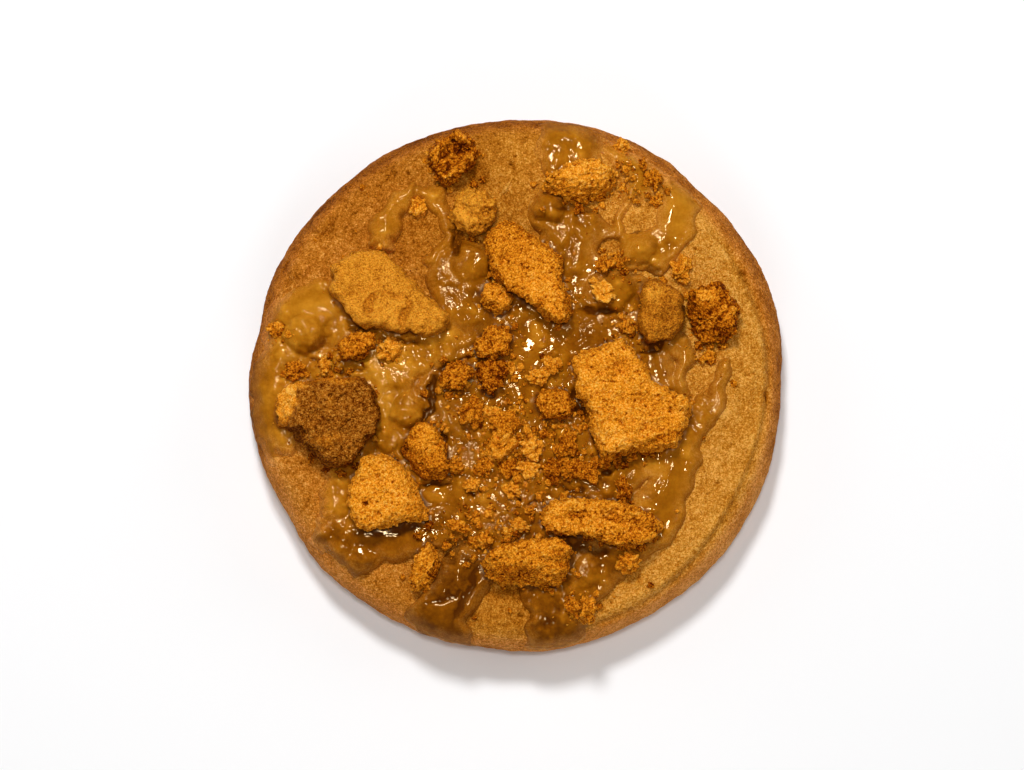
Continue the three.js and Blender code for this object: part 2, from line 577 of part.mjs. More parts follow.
// The top of a piece: a ring half way in with every second point, and the middle.
function capOfPiece(points, count, hollow, random) {
  const rim = points.slice(0, count);
  const middle = [0, 1, 2].map((axis) => rim.reduce((sum, point) => sum + point[axis], 0) / count);
  const ring = points.length;
  const ringCount = Math.floor(count / 2);
  for (let i = 0; i < ringCount; i++) {
    const [x, y, z] = rim[2 * i];
    const unevenness = (random() - 0.5) * 0.8;
    points.push([(x + middle[0]) / 2, (y + middle[1]) / 2, (z + middle[2]) / 2 + unevenness - hollow]);
  }
  const apex = points.length;
  points.push([middle[0], middle[1], middle[2] + 0.2 - hollow * 1.2]);
  const triangles = [];
  for (let i = 0; i < ringCount; i++) {
    const inner = ring + i;
    const nextInner = ring + ((i + 1) % ringCount);
    const first = 2 * i;
    const last = i === ringCount - 1 ? count : first + 2;
    triangles.push([inner, first, first + 1], [inner, first + 1, nextInner], [apex, inner, nextInner]);
    for (let j = first + 1; j < last; j++) triangles.push([nextInner, j, (j + 1) % count]);
  }
  return triangles;
}

// ---- The whole cookie ---------------------------------------------------------------------------------------------

const group = new THREE.Group();
group.add(cookie());
Object.entries(PIECES).forEach(([name, piece], i) => group.add(pieceOfBiscuit(name, piece, i + 11)));
export default group;
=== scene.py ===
"""A thick round cookie smeared with lumpy biscuit spread, with broken pieces of biscuit and crumbs on it.

Shapes are worked out in millimetres, in the part's frame, and put into meshes in metres. +Y is the top of the picture.
"""

import math

import bmesh
import bpy
import numpy as np
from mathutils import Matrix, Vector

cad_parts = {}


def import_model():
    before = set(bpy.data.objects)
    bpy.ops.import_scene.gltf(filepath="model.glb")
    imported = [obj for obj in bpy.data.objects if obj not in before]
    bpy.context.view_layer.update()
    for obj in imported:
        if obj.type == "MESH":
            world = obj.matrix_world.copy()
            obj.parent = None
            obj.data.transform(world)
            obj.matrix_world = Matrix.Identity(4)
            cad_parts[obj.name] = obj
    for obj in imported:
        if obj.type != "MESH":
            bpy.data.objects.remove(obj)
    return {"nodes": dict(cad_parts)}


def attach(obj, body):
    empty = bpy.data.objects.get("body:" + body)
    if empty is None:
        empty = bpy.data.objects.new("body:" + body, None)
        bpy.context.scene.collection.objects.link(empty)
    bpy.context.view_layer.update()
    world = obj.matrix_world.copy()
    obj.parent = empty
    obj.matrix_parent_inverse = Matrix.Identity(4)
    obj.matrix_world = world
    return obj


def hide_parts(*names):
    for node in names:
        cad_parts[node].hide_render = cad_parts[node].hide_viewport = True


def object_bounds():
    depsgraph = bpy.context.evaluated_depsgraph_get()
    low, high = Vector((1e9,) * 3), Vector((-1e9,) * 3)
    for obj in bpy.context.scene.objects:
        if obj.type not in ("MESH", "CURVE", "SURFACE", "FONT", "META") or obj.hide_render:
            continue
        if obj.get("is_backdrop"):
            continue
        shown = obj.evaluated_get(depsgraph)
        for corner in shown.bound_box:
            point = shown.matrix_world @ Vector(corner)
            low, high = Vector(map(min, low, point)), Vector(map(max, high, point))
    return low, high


MM = 0.001

# ---- Sizes of the cookie, as in the CAD model, in millimetres ----

COOKIE_RADIUS = 53.9
DOUGH_HEIGHT = 17.6
DOME_DROP = 1.5
EDGE_WIDTH = 6.8
EDGE_DROP = 8.8
FOOT_INSET = 2.2
EDGE_DENTS = [(168, 1.1, 8), (209, 1.0, 8), (-1, 0.7, 11), (47, 0.7, 11), (262, 0.4, 8)]
CREASE_RADIUS = 50
CREASE_DEPTH = 0.8
CREASE_WIDTH = 0.9
CREASE_STEP = 0.6
CREASE_FROM, CREASE_TO = -82, 42
LIP_WIDTH = 1.7

# Each stroke of the spread: its thickness, how light it is from 0 to 1, and its middle line as (x, y, half width).
STROKES = {
    "pool": (1.5, 0.44, [(-14, -14, 14), (-2, -6, 18), (8, 4, 17), (10, -14, 17), (-4, -26, 10)]),
    "north_pool": (1.8, 0.45, [(-9, 19, 9), (2, 16, 8), (13, 28, 7.5), (8, 33, 5)]),
    "top_sheet": (1.6, 0.5, [(12, 53, 7), (11, 47, 7), (8.5, 40, 3.6), (6, 34, 3.4)]),
    "left_sheet": (1.7, 0.74, [(-36, 14, 7), (-43, 12.5, 7), (-46, 3, 5.5), (-47, -7, 4.5), (-46, -11.5, 3.2)]),
    "left_rim": (1.3, 0.5, [(-48, 7, 2.4), (-49.4, 1, 3), (-49.6, -7, 3.2), (-48.6, -14, 2.4)]),
    "left_inner": (1.7, 0.75, [(-16, 9, 6), (-26, 6, 8), (-32, -4, 13), (-28, -16, 10), (-33, -24, 6)]),
    "finger": (3.0, 0.75, [(-20.6, 39.6, 0.9), (-22.4, 36.5, 2.2), (-24.6, 32.5, 2.6), (-27, 29, 3), (-26, 27, 2)]),
    "arc": (1.7, 0.6, [(-20.5, 39, 1.1), (-16, 37, 2), (-13.8, 33, 1.8), (-13.7, 28, 1.7), (-16.5, 24.5, 1.8)]),
    "lower_left": (2.2, 0.38, [(-14, -29, 4.6), (-22, -29, 6), (-29.5, -31.5, 5.6), (-36, -29.5, 4.6),
        (-39.5, -32.5, 2.4)]),
    "drip": (2.0, 0.3, [(-29, -34, 3.4), (-31.3, -36, 2.5)]),
    "south_west": (2.2, 0.25, [(-9, -37, 5), (-12.4, -42, 5.6), (-15.2, -46, 6), (-15.6, -51, 6)]),
    "south_lobe": (1.9, 0.28, [(13, -27, 6), (5, -36, 7), (9, -44, 5.6), (7.5, -51, 6)]),
    "right_band": (2.1, 0.55, [(35, -8, 4), (32.6, -14, 4.2), (30.8, -21, 4.6), (27, -28, 5.2), (22.5, -32, 4.8)]),
    "right_foot": (2.1, 0.4, [(22.5, -32, 4.8), (15, -38.5, 4.2), (11, -45, 4.5)]),
    "under_large": (1.6, 0.5, [(20, -4, 8), (26, -12, 7)]),
    "streak": (1.9, 0.55, [(41.8, 4.5, 1.2), (41, 0, 1.7), (39, -4, 2.3), (36.5, -7.5, 3)]),
    "tongue": (2.2, 0.6, [(31, 9, 3), (33.4, 6, 2.3), (33.4, 2, 1.7), (32.6, -3, 1.2)]),
    "right_upper": (1.7, 0.68, [(33, 41, 4), (33.5, 36, 4.2), (31, 30, 4.2), (27.5, 25.8, 4.2), (24, 25, 3.4)]),
    "right_mid": (1.6, 0.5, [(20, 17, 6), (28, 13, 6), (24, 6, 6), (30, -4, 5)]),
    "east_top": (1.0, 0.7, [(21, 47, 3.5), (25, 42, 4.5), (24, 37, 3)]),
    "thin_ridge": (2.0, 0.7, [(23.8, 40, 0.9), (22.8, 36.5, 1.3), (21, 32.5, 1.1), (20, 29.5, 1.5)]),
}
# Gaps where the bare dough shows: x, y, half width, half height.
GAPS = [(-19.2, 30.2, 4.2, 5.2), (18.6, 27.6, 2.6, 2), (25.4, 32.6, 2.6, 2.4), (37.3, 0.5, 2.4, 3.6),
        (-11.6, 28.6, 1, 3)]
# Coated lumps in the spread: x, y, radius, height. The dough has two of its own.
SPREAD_LUMPS = [(-41.8, 9.8, 4.2, 3), (6.6, 35, 3.2, 2.4), (24.6, 27, 3.6, 1.8), (-21.5, -5.4, 3.4, 1.8),
                (-31, -35.6, 3, 1), (-26, -11.5, 2.6, 1.2), (20, 18, 3.8, 2), (-8.5, 24.5, 4.4, 1.4),
                (13, -37, 4, 0.9), (24.5, 45, 3, 0.8), (-35, -32.6, 2.6, 1.2), (-38.4, -30, 2, 0.9),
                (-36.2, -24.6, 3, 1)]
DOUGH_LUMPS = [(-38.8, 32.6, 2.6, 1.2), (-43.4, 22.8, 2.2, 0.9)]
# The crumbs that stand out: x, y, radius.
CRUMBS = [(3.3, -13, 2.5), (-3.4, -12.6, 2.3), (-2, -8.2, 2.6), (-4.8, -6.2, 1.7), (-8.8, -5.8, 2.3), (10, -12, 2.2),
          (14.6, -17.3, 2), (11.2, -17, 1.8), (7.6, -17.6, 1.7), (2.4, -17, 2), (-1, -17.4, 1.5), (-6.4, -16.4, 1.5),
          (-11.6, -16.4, 1.9), (-8.8, -20.2, 1.9), (-0.6, -21.4, 1.7), (0.8, -28.2, 1.9), (-11.4, -28.4, 1.7),
          (-6.4, -31.4, 1.8), (14.2, -45, 2.2), (11.4, -44.4, 1.5), (22.3, -35.8, 2.1), (21.4, -21.2, 1.9),
          (-24.6, 6.6, 1.9), (-44, 2.4, 1.8), (-38, 3, 1.8), (-19.6, 35.4, 1.5), (22.3, 11.2, 2), (17.4, 18.2, 2),
          (32.8, 22.6, 2.1), (38.8, 5.4, 1.5), (17.4, 23.6, 1.5), (20.4, 23.6, 1.5), (7.2, 3.2, 1.9), (4.6, 1.2, 1.4),
          (27.4, 40.8, 1.5), (28.4, 36.4, 1.4), (21, 47.4, 1.3), (25.4, 43.6, 1.3), (-47.8, 10.8, 1.4)]

# Where the spread lies smooth and flat: x, y, half width, half height.
CALM_PLACES = [(1.5, 5, 3.4, 6.5), (16.4, 26, 3.2, 4.4), (33, 34, 4, 6), (-40, 15.5, 5, 3), (31, -21, 3.5, 8),
               (27.5, -17.5, 2.5, 2), (33.5, 5, 2, 4), (-17, -22.5, 4, 2.5), (-25, -32, 8, 3.4), (-13.5, -44, 5, 6),
               (23, -25, 4, 2.5), (-28, 28, 2, 3), (12, 40, 3, 2)]

# Where the spread lies almost level and so shines: x, y, half width, half height, height over the dough.
PUDDLES = [(2.7, 8, 1.5, 2.2, 1.5), (0, 1.6, 1.8, 2.3, 1.45), (27, -17.6, 2.4, 1.4, 1.6),
           (-4.5, -22.5, 1.2, 1.3, 1.5), (-22.6, 0.6, 2.4, 1.7, 2.1), (-21.4, -3.9, 1, 0.9, 2.6),
           (-14.6, 17, 1.1, 1.4, 1.9), (12.2, 26, 1.1, 2, 1.9), (9.6, 30.6, 0.9, 0.9, 1.9),
           (-9.6, -13.4, 1.3, 1.5, 1.6), (29.6, 4, 0.9, 1.5, 1.7), (32, 6.2, 0.7, 1.6, 2.1), (7.4, 49.4, 2, 1.3, 1.6),
           (-38.4, 12.8, 1.3, 1.3, 2.6), (34.8, -8.8, 0.9, 0.9, 1.9), (38.8, -1.4, 0.7, 1.7, 1.6),
           (23.4, -19, 1.5, 0.8, 1.8), (29, -19.6, 0.9, 1.3, 1.9), (-27.4, 3.4, 1.2, 0.8, 1.9)]
# Where it is at its liveliest, and where it runs down over the cookie's edge: x, y, half width, half height.
LIVELY_PLACES = [(-22, -1, 5, 4), (-13.5, 19, 3, 5), (10.2, 28, 2, 4), (24, -19, 4, 2), (30, -19, 2, 3),
                 (-10, -13, 2.5, 3), (7.4, 49.5, 3, 2), (37, -2, 2, 5), (-44, 3, 3, 5), (-38, 12, 3, 3),
                 (12, 12, 4, 2), (-35, -31, 4, 3), (-9.5, -14, 2, 2), (-4, -28, 3, 2), (12, -37, 3, 2),
                 (-38, -22, 3, 2), (20, 33, 2, 4), (-26, 4, 4, 2), (-47.5, -3, 3.5, 9)]
OVER_EDGE = [(12, 52, 7, 5), (-14, -51, 8, 5), (7.5, -51, 6, 4), (-53, -4, 6, 10)]
# Where the spread's edge thins out into the dough: x, y, half width, half height.
SOFT_PLACES = [(-47, -17, 6, 6), (-43, -26, 9, 9), (-49, 13, 5, 7), (30, 46, 12, 6), (3, 45, 3, 8), (25, 36, 4, 5),
               (-24, 24, 5, 5)]

# Places on the dough that differ: x, y, half width, half height, turn in degrees, change of tone, change of height.
# Cracks and pits are darkened as painted shade; some dark patches, such as those south-east of piece_top_left and in
# the gap south of piece_coated_top, are painted shadow. The rest is the dough's own colour.
DOUGH_MARKS_AND_SHADE = [
    (-46, 23.5, 1.6, 0.35, 60, -0.4, -0.5), (-45, 27, 1.4, 0.3, 50, -0.35, -0.4),
    (-49.5, 16.5, 1.6, 0.4, 70, -0.4, -0.5), (-33.5, 39.5, 1.2, 0.3, 30, -0.3, -0.3),
    (-21.5, 42, 0.5, 0.5, 0, -0.4, -0.4), (-24, 42, 0.4, 0.4, 0, -0.3, -0.3), (50, -2.5, 0.4, 1.4, 0, -0.4, -0.5),
    (45.5, 22, 0.8, 0.6, 0, -0.45, -0.5), (46.5, 1.8, 1, 0.35, 10, -0.3, -0.3), (-7.5, 41.5, 2.4, 2.5, 0, -0.25, 0),
    (0, -42, 6, 1.6, 0, -0.25, -0.3), (2.5, -43.2, 0.8, 0.8, 0, -0.4, -0.5), (1, -46.2, 0.7, 0.35, 0, -0.35, -0.3),
    (41.5, -5.5, 1.6, 1.2, 0, 0.25, 0.1), (-1.9, 39, 0.35, 1.6, -35, 0.25, 0.7), (41.6, 26, 0.4, 2, 30, 0.3, 0.2),
    (-47.5, -13.8, 1.4, 1, 0, -0.3, -0.5), (-30, 43, 5, 1.2, 30, -0.12, 0), (-11.6, 28.6, 1.4, 3.4, 0, -0.45, -0.4),
    (-2, -46.5, 9, 4, 0, -0.07, 0), (-19.2, 30.2, 5, 6, 0, -0.1, 0), (18.6, 27.6, 3, 2.4, 0, -0.15, 0),
    (37.3, 0.5, 2.4, 3.6, 0, -0.08, 0),
]
# The same for the spread: mostly dark furrows, sunk and darkened with painted shade, some of it painted shadow below
# the pieces; and some pale smooth spots, painted highlights where the spread shines.
SPREAD_FURROWS_SHADE_AND_HIGHLIGHTS = [
    (-16.6, -1.6, 0.8, 3, 0, -0.6, -1.3), (-17.6, -6.2, 0.7, 2.6, -35, -0.5, -1.2),
    (-13.5, 3.3, 2.8, 0.6, 20, -0.5, -0.9), (-9.6, 4.8, 1.4, 0.6, 30, -0.5, -0.9),
    (-4.9, 22.5, 0.5, 3, 0, -0.5, -0.8), (-11.5, 30.3, 1.3, 1, 0, -0.6, -1), (-7.5, 29, 2.2, 0.6, 0, -0.5, -0.8),
    (-11.8, 27, 0.9, 2, 0, -0.5, -0.8), (-22, 8.4, 3.8, 0.9, 0, -0.5, -0.6), (-30, 10.8, 3.4, 0.6, 5, -0.4, -0.6),
    (-39, 8, 2.8, 0.9, 35, -0.4, -0.3), (-40.3, 4.6, 0.8, 0.6, 0, -0.6, -0.8), (-34.9, 2.3, 0.8, 0.7, 0, -0.5, -0.6),
    (-30.8, 2.6, 1.4, 0.5, 15, -0.5, -0.7), (-38, -34.5, 0.9, 0.6, 0, -0.5, -0.6),
    (-9.8, -42, 0.7, 5.5, -25, -0.35, -0.5), (-14.5, -42.6, 4, 0.5, 20, -0.25, -0.5),
    (-25, -29.2, 7, 0.9, 6, -0.3, -0.15), (14, -33, 5, 1.2, -5, -0.45, -0.6), (13, 34.8, 5, 0.7, 0, -0.45, -0.5),
    (27.5, 7.1, 3, 0.7, 25, -0.5, -0.6), (17, 14.2, 3.4, 0.6, 0, -0.45, -0.7), (26, 22, 3, 0.8, 8, -0.5, -0.6),
    (31, 21, 1.5, 0.5, -15, -0.5, -0.5), (8.6, -20.2, 2.6, 0.4, -30, -0.4, -0.6),
    (12.6, -21.2, 2, 0.4, 10, -0.4, -0.5), (-8.2, -21.8, 1.3, 0.5, 10, -0.5, -0.6),
    (0.8, -23.3, 0.6, 0.9, 0, -0.5, -0.6), (3.5, -23.6, 1.9, 0.4, 45, -0.5, -0.6),
    (12.6, -4.6, 0.7, 3.6, 18, -0.5, -0.8), (18.5, -17.8, 1.4, 0.8, 30, -0.6, -0.8),
    (-14.2, -12, 0.5, 2.2, 8, -0.5, -0.7), (-22, -13.4, 0.8, 0.7, 0, -0.5, -0.6),
    (-1.6, -11.2, 1.8, 0.4, -25, -0.4, -0.6), (-5.6, -14.4, 0.8, 0.8, 0, -0.4, -0.6),
    (-16, -20, 3.2, 0.5, 5, -0.4, -0.5), (27.5, -17.4, 2.6, 1.8, 10, 0.3, 0), (24, -24, 3.4, 1.2, 0, 0.25, 0),
    (4, 9, 1.6, 3.4, 0, 0.25, 0), (7.5, 0.4, 1.8, 0.8, 15, 0.3, 0), (-0.5, 3.6, 1.8, 2.2, 0, 0.25, 0),
    (-16, -22.6, 2.4, 1.2, -10, 0.25, 0.3), (-5.5, -23.5, 1.6, 1.8, 0, 0.2, 0.3), (13, -41, 2.6, 1.6, -20, 0.2, 0.1),
    (-26.5, 2, 3, 3, 0, 0.15, 0.3), (-21.5, -6.5, 2.4, 2, 0, 0.15, 0.3), (33.6, -1, 1.2, 3, 0, 0.15, 0.2),
    (34.5, -12, 1.6, 3, 10, 0.12, 0.1), (10, 47, 5, 4, 0, 0.12, 0), (33, 34, 3, 5, 0, 0.1, 0),
    (-40, 15, 4, 2, 0, 0.15, 0), (-13, -33.3, 1.6, 2.4, 10, -0.5, -0.8), (-10.6, -31.4, 1.2, 0.6, 30, -0.4, -0.5),
]
# Heaps of fine crumbs: x, y, spread, share of all.
CRUMB_HEAPS = [(-1, -12, 8, 0.24), (4, -15, 5, 0.07), (24, 42, 3.4, 0.06), (19.5, 23.5, 2.4, 0.03),
               (-38, 2.6, 2.6, 0.03), (22, 10.5, 2.6, 0.04), (38, 6, 1.8, 0.02), (-4, -28.5, 3.6, 0.05),
               (13.5, -45, 1.8, 0.02), (-11, -30, 2.4, 0.02), (-25.5, 6.6, 1.6, 0.02), (-47, 10, 1.6, 0.01),
               (-3, 4, 3, 0.04)]
# Crumbs along the broken lower edges of the pieces, dark partly as painted shade on the pieces' shaded sides: x, y,
# radius.
SHADED_EDGE_CRUMBS = [(17.6, -16, 1.1), (20, -15.6, 1.3), (23, -14.8, 1.1), (25.8, -13.7, 1.2), (28.8, -12.4, 1),
               (31.4, -11.4, 0.9), (21.6, -16.4, 0.7), (27.4, -14.4, 0.6), (14.5, -30.6, 1), (17.5, -31.4, 1.1),
               (21, -32, 1.1), (24.8, -32.2, 1), (27.6, -30.8, 0.9), (-31.6, -16.6, 1.1), (-34.6, -18, 1),
               (-37.6, -17, 1), (-40.6, -14.8, 0.9), (-19.4, -30.4, 0.9), (-17.2, -28.4, 0.8), (-12.6, -17, 0.9),
               (-15, -18.4, 1), (-6.6, 40.6, 0.8), (-8.4, 39.6, 0.8), (12.6, 34.6, 0.9), (16, 34.4, 0.9),
               (9.6, 36, 0.7), (8.4, 11, 0.9), (6.4, 12.8, 0.7), (36.4, 7.4, 1), (38.8, 7.6, 0.9), (41.6, 8.6, 0.8),
               (-6.2, 31, 0.8), (9.6, -36.8, 0.9), (6, -40.4, 0.8)]
# Places on the pieces of biscuit that differ, given as those on the dough.
# Many dark patches, on the pieces' sides towards the bottom of the picture and in their hollows, are painted shade,
# and some light ones on ridges and north-facing tops are painted light; others, such as the gold of piece_dark_left,
# are the biscuit's own colour.
PIECE_MARKS_LIGHT_AND_SHADE = [
    # piece_top_left
    (-10.6, 46.4, 1.8, 1.2, 0, -0.3, -0.5), (-14.2, 45.4, 1.0, 0.9, 20, -0.3, -0.6),
    (-13.6, 42.4, 0.8, 1, 0, -0.4, -0.8), (-12.2, 47.6, 0.7, 0.6, 0, -0.3, -0.5), (-10, 49, 2.5, 0.9, -20, 0.25, 0.9),
    (-12.4, 45.2, 1, 0.8, 0, 0.3, 0.8), (-8, 44.2, 1.4, 1.4, 30, 0.25, 0.7), (-12, 41.2, 1.8, 1.2, 20, 0.35, 0.5),
    (-16.3, 46, 1.2, 2, 0, 0.25, 0.5),
    # piece_top
    (14, 42.2, 6.5, 2, 5, 0.1, 0), (9.5, 38.2, 3, 1.6, -15, -0.22, -0.4), (14.5, 36.6, 5, 1.4, 10, -0.3, -0.5),
    # piece_coated_top
    (-5.6, 33.8, 3.2, 0.7, 20, -0.28, -0.9), (-11.4, 32.5, 1.8, 2.6, 20, 0.22, 0.2),
    (-5.5, 31, 2.5, 1.2, 0, -0.16, -0.6), (-8.6, 36, 2, 1.4, -10, 0.12, 0.8), (-9, 29.8, 2, 0.7, 0, -0.15, -0.7),
    (-4.6, 35.8, 1.6, 1, 20, -0.05, 0.4),
    # piece_upper_middle
    (-3.2, 27, 2.6, 5, 35, -0.06, -0.3), (5.2, 15.6, 0.8, 0.6, 0, -0.3, -0.5), (5, 17, 4, 5, 0, 0.16, 0),
    # piece_coated_left
    (-26, 13.8, 3.4, 2.4, 20, 0.08, 0.7), (-17.6, 13.2, 3.4, 2.4, 10, 0.08, 0.7),
    (-31.8, 14.8, 2.6, 2.2, 0, 0.08, 0.5), (-28.9, 15.4, 0.8, 2.6, -25, -0.2, -0.8),
    (-21.8, 13.4, 0.9, 2.8, -15, -0.2, -0.8), (-25, 17.2, 3.4, 0.7, -8, -0.14, -0.5),
    (-32, 18.2, 2.4, 0.7, 20, -0.12, -0.4), (-14, 12.2, 1, 1.6, 0, -0.2, 0),
    # piece_small_upper and piece_small_left
    (-4.5, 14.6, 1.2, 1, 0, -0.35, -0.8), (-29.5, 5.6, 2, 1, 0, -0.25, -0.4),
    # piece_dark_left
    (-45.2, -4, 1.9, 4.4, -15, 0.62, 0), (-44.2, -1, 3, 1.4, 20, 0.5, 0), (-37, 0.4, 6, 0.9, 0, 0.3, 0),
    (-42.6, -10, 1.8, 1.4, 0, -0.15, -0.3), (-35, -7.6, 3.8, 0.4, 4, -0.15, -0.4),
    (-33.5, -2.8, 1.8, 0.3, 30, -0.25, -0.4), (-36, -15.6, 3, 1, 0, -0.15, -0.3), (-37, -11.5, 3, 1.2, 10, 0.1, 0.2),
    (-37, -4, 3, 1.4, -20, 0.08, 0.2),
    # piece_lower_left
    (-29.5, -24, 0.7, 0.7, 0, -0.35, -0.5), (-28.4, -23.4, 0.5, 0.5, 0, -0.3, -0.4),
    (-19.5, -26, 3, 1.8, -30, -0.18, -0.3),
    # piece_lower_middle
    (-17.6, -11.2, 1.8, 2.8, 0, 0.2, 0.2), (-18.2, -16.6, 4, 2, 0, -0.1, 0), (-22, -13, 1, 3, 0, -0.2, -0.2),
    # piece_small_right
    (8, -6.8, 4, 0.8, 0, -0.25, -0.3),
    # piece_large_right
    (19, 2.6, 4.5, 1.6, 0, -0.14, -0.35), (27, -4.5, 5, 1.5, -20, -0.12, -0.3), (28.5, -8.8, 3, 1.2, 0, -0.1, -0.25),
    (20.6, -14.6, 4.5, 0.8, 18, -0.4, -0.8), (30, -10.8, 4.5, 0.7, 20, -0.4, -0.8),
    (18.5, -10.5, 3.5, 5, 15, 0.1, 0.25), (18.5, -5.9, 3, 0.4, -22, -0.16, -0.4),
    (24, -8.2, 3, 0.4, -20, -0.08, -0.3),
    # piece_coated_right
    (31, 14.5, 2.5, 3.5, 0, -0.12, 0), (27, 17.6, 2.6, 2, 0, 0.25, 0.2), (28, 13, 3, 0.4, -15, -0.15, -0.4),
    # piece_far_right
    (37.4, 18, 3, 1.8, -20, 0.4, 0.2), (41.8, 14, 1.6, 1.6, 0, 0.3, 0.2), (36, 13.4, 2.4, 2, 0, -0.15, -0.6),
    (41, 10.5, 1.8, 1.6, 0, -0.2, -0.6), (38, 7.8, 2.4, 1, 0, 0.2, 0.1), (37.6, 11.4, 1.4, 0.8, -20, 0.25, 0.2),
    (40.8, 17.4, 1, 1.4, 0, -0.25, -0.6),
    # piece_long_lower
    (12.6, -26.2, 2.6, 0.9, 0, -0.32, -0.5), (20.5, -27, 2.2, 0.8, -15, -0.3, -0.4),
    (25.5, -28.5, 2.6, 2.4, 0, -0.2, -0.2), (21, -31, 5, 1, -5, -0.25, -0.3), (9, -24, 3, 1, 0, 0.12, 0.1),
    # piece_bottom
    (0, -37.6, 5.5, 1.6, 0, -0.3, -0.5), (3, -33.6, 5, 1.8, 8, 0.1, 0), (0, -39.8, 5, 0.6, 0, 0.14, 0.2),
    (9.2, -35, 1.6, 2, 0, -0.2, 0),
    # piece_small_bottom
    (-16, -37.5, 1.2, 2, -30, -0.35, -0.3),
]

# ---- Fineness ----

DOUGH_RINGS = 170
SPREAD_RINGS = 168
SIDE_RINGS = 16
PIECE_VOXEL = 0.18

# How each piece of biscuit looks: tone from dark to light, how grainy it is, and how thickly it is coated.
PIECE_LOOKS = {
    "piece_top_left": (0.44, 1.3, 0), "piece_top": (0.88, 1.1, 0), "piece_coated_top": (0.7, 0.9, 0.5),
    "piece_upper_middle": (0.71, 0.9, 0.1), "piece_coated_left": (0.70, 0.35, 0.7),
    "piece_small_upper": (0.78, 0.9, 0.1), "piece_small_left": (0.62, 1.2, 0), "piece_middle": (0.58, 1.1, 0),
    "piece_dark_middle": (0.38, 1.5, 0), "piece_middle_left": (0.55, 1.2, 0), "piece_dark_left": (0.35, 0.8, 0),
    "piece_lower_left": (0.90, 0.9, 0), "piece_lower_middle": (0.60, 0.7, 0.3), "piece_small_right": (0.62, 1, 0),
    "piece_large_right": (0.88, 0.8, 0), "piece_coated_right": (0.45, 0.4, 0.8),
    "piece_far_right": (0.46, 1.4, 0.1), "piece_long_lower": (0.80, 1.1, 0), "piece_bottom": (0.70, 0.9, 0),
    "piece_small_bottom": (0.72, 0.9, 0),
}

# Kinds of placed crumbs: name, places, how high they sit as a share of their radius, range of tone, subdivisions of
# their ball, seed. Kinds of scattered crumbs: name, how many, subdivisions, smallest and largest radius, seed.
# The crumbs along the pieces' lower edges are darkened as painted shade.
LARGE_CRUMBS = [("crumbs", CRUMBS, 0.25, (0.5, 0.82), 4, 200),
                ("shaded_crumbs", SHADED_EDGE_CRUMBS, 0.3, (0.2, 0.42), 3, 210)]
FINE_CRUMBS = [("fine_crumbs", 700, 2, 0.3, 0.9, 300), ("dust_crumbs", 1200, 1, 0.14, 0.26, 310)]

DARK_PIECES = ("piece_dark_left", "piece_dark_middle", "piece_far_right")
COARSE_PIECES = ("piece_top", "piece_top_left")

# ---- Noise ----

GRADIENTS = np.array(
    [(x, y, z) for x in (-1, 0, 1) for y in (-1, 0, 1) for z in (-1, 0, 1) if abs(x) + abs(y) + abs(z) == 2], float
)


def hashed(cell, seed):
    """A repeatable whole number for each integer cell."""
    keys = np.array([73856093, 19349663, 83492791], np.uint32)
    value = (cell.astype(np.int64).astype(np.uint32) * keys).astype(np.uint32)
    value = value[..., 0] ^ value[..., 1] ^ value[..., 2] ^ np.uint32((seed * 2654435761) & 0xFFFFFFFF)
    value ^= value >> np.uint32(15)
    value *= np.uint32(2246822519)
    value ^= value >> np.uint32(13)
    value *= np.uint32(3266489917)
    return value ^ (value >> np.uint32(16))


def flat_points(x, y):
    return np.column_stack([x, y, np.zeros(len(x))])


def smooth_noise(points, seed=0):
    """Gradient noise, about -1 to 1, with features of size 1."""
    cell = np.floor(points)
    part = points - cell
    fade = part**3 * (part * (part * 6 - 15) + 10)
    total = np.zeros(len(points))
    for corner in np.ndindex(2, 2, 2):
        slope = GRADIENTS[hashed(cell + corner, seed) % len(GRADIENTS)]
        weight = np.prod(np.where(corner, fade, 1 - fade), axis=1)
        total += weight * np.einsum("ij,ij->i", slope, part - corner)
    return total


def layered_noise(points, size, layers=3, seed=0):
    """Smooth noise of a size in millimetres, with finer and weaker layers."""
    total = np.zeros(len(points))
    for layer in range(layers):
        total += smooth_noise(points / size * 2**layer, seed + layer) / 2**layer
    return total


def grains(points, size, seed=0):
    """Distance to the nearest of many scattered points, as a share of the size, and a random number of that point."""
    scaled = points / size
    cell = np.floor(scaled)
    nearest = np.full(len(points), 9.0)
    chosen = np.zeros(len(points))
    for offset in np.ndindex(3, 3, 3):
        there = cell + np.array(offset) - 1
        key = hashed(there, seed)
        spot = np.stack([(key >> np.uint32(shift)) & np.uint32(1023) for shift in (0, 10, 20)], axis=1) / 1023.0
        away = np.sum((there + spot - scaled) ** 2, axis=1)
        closer = away < nearest
        nearest[closer] = away[closer]
        chosen[closer] = (key[closer] % 997) / 997.0
    return np.sqrt(nearest), chosen


# ---- Surface of the cookie ----


def smooth_step(value):
    value = np.clip(value, 0, 1)
    return value * value * (3 - 2 * value)


def edge_point(angle):
    """The cookie's outline seen from above."""
    radius = COOKIE_RADIUS + 0.35 * np.sin(2 * angle + 0.6) + 0.25 * np.sin(3 * angle - 1) + 0.15 * np.sin(7 * angle)
    for direction, depth, half_width in EDGE_DENTS:
        turn = angle - math.radians(direction)
        turn = np.arctan2(np.sin(turn), np.cos(turn))
        radius = radius - depth * np.exp(-((turn / math.radians(half_width)) ** 2))
    return np.stack([radius * np.cos(angle), radius * np.sin(angle)], axis=-1)


def outline_middle():
    ring = edge_point(np.linspace(0, 2 * np.pi, 720, endpoint=False))
    return (ring.max(0) + ring.min(0)) / 2


def crease_strength(x, y):
    degrees = np.degrees(np.arctan2(y, x))
    return smooth_step((degrees - CREASE_FROM) / 18) * smooth_step((CREASE_TO - degrees) / 18)


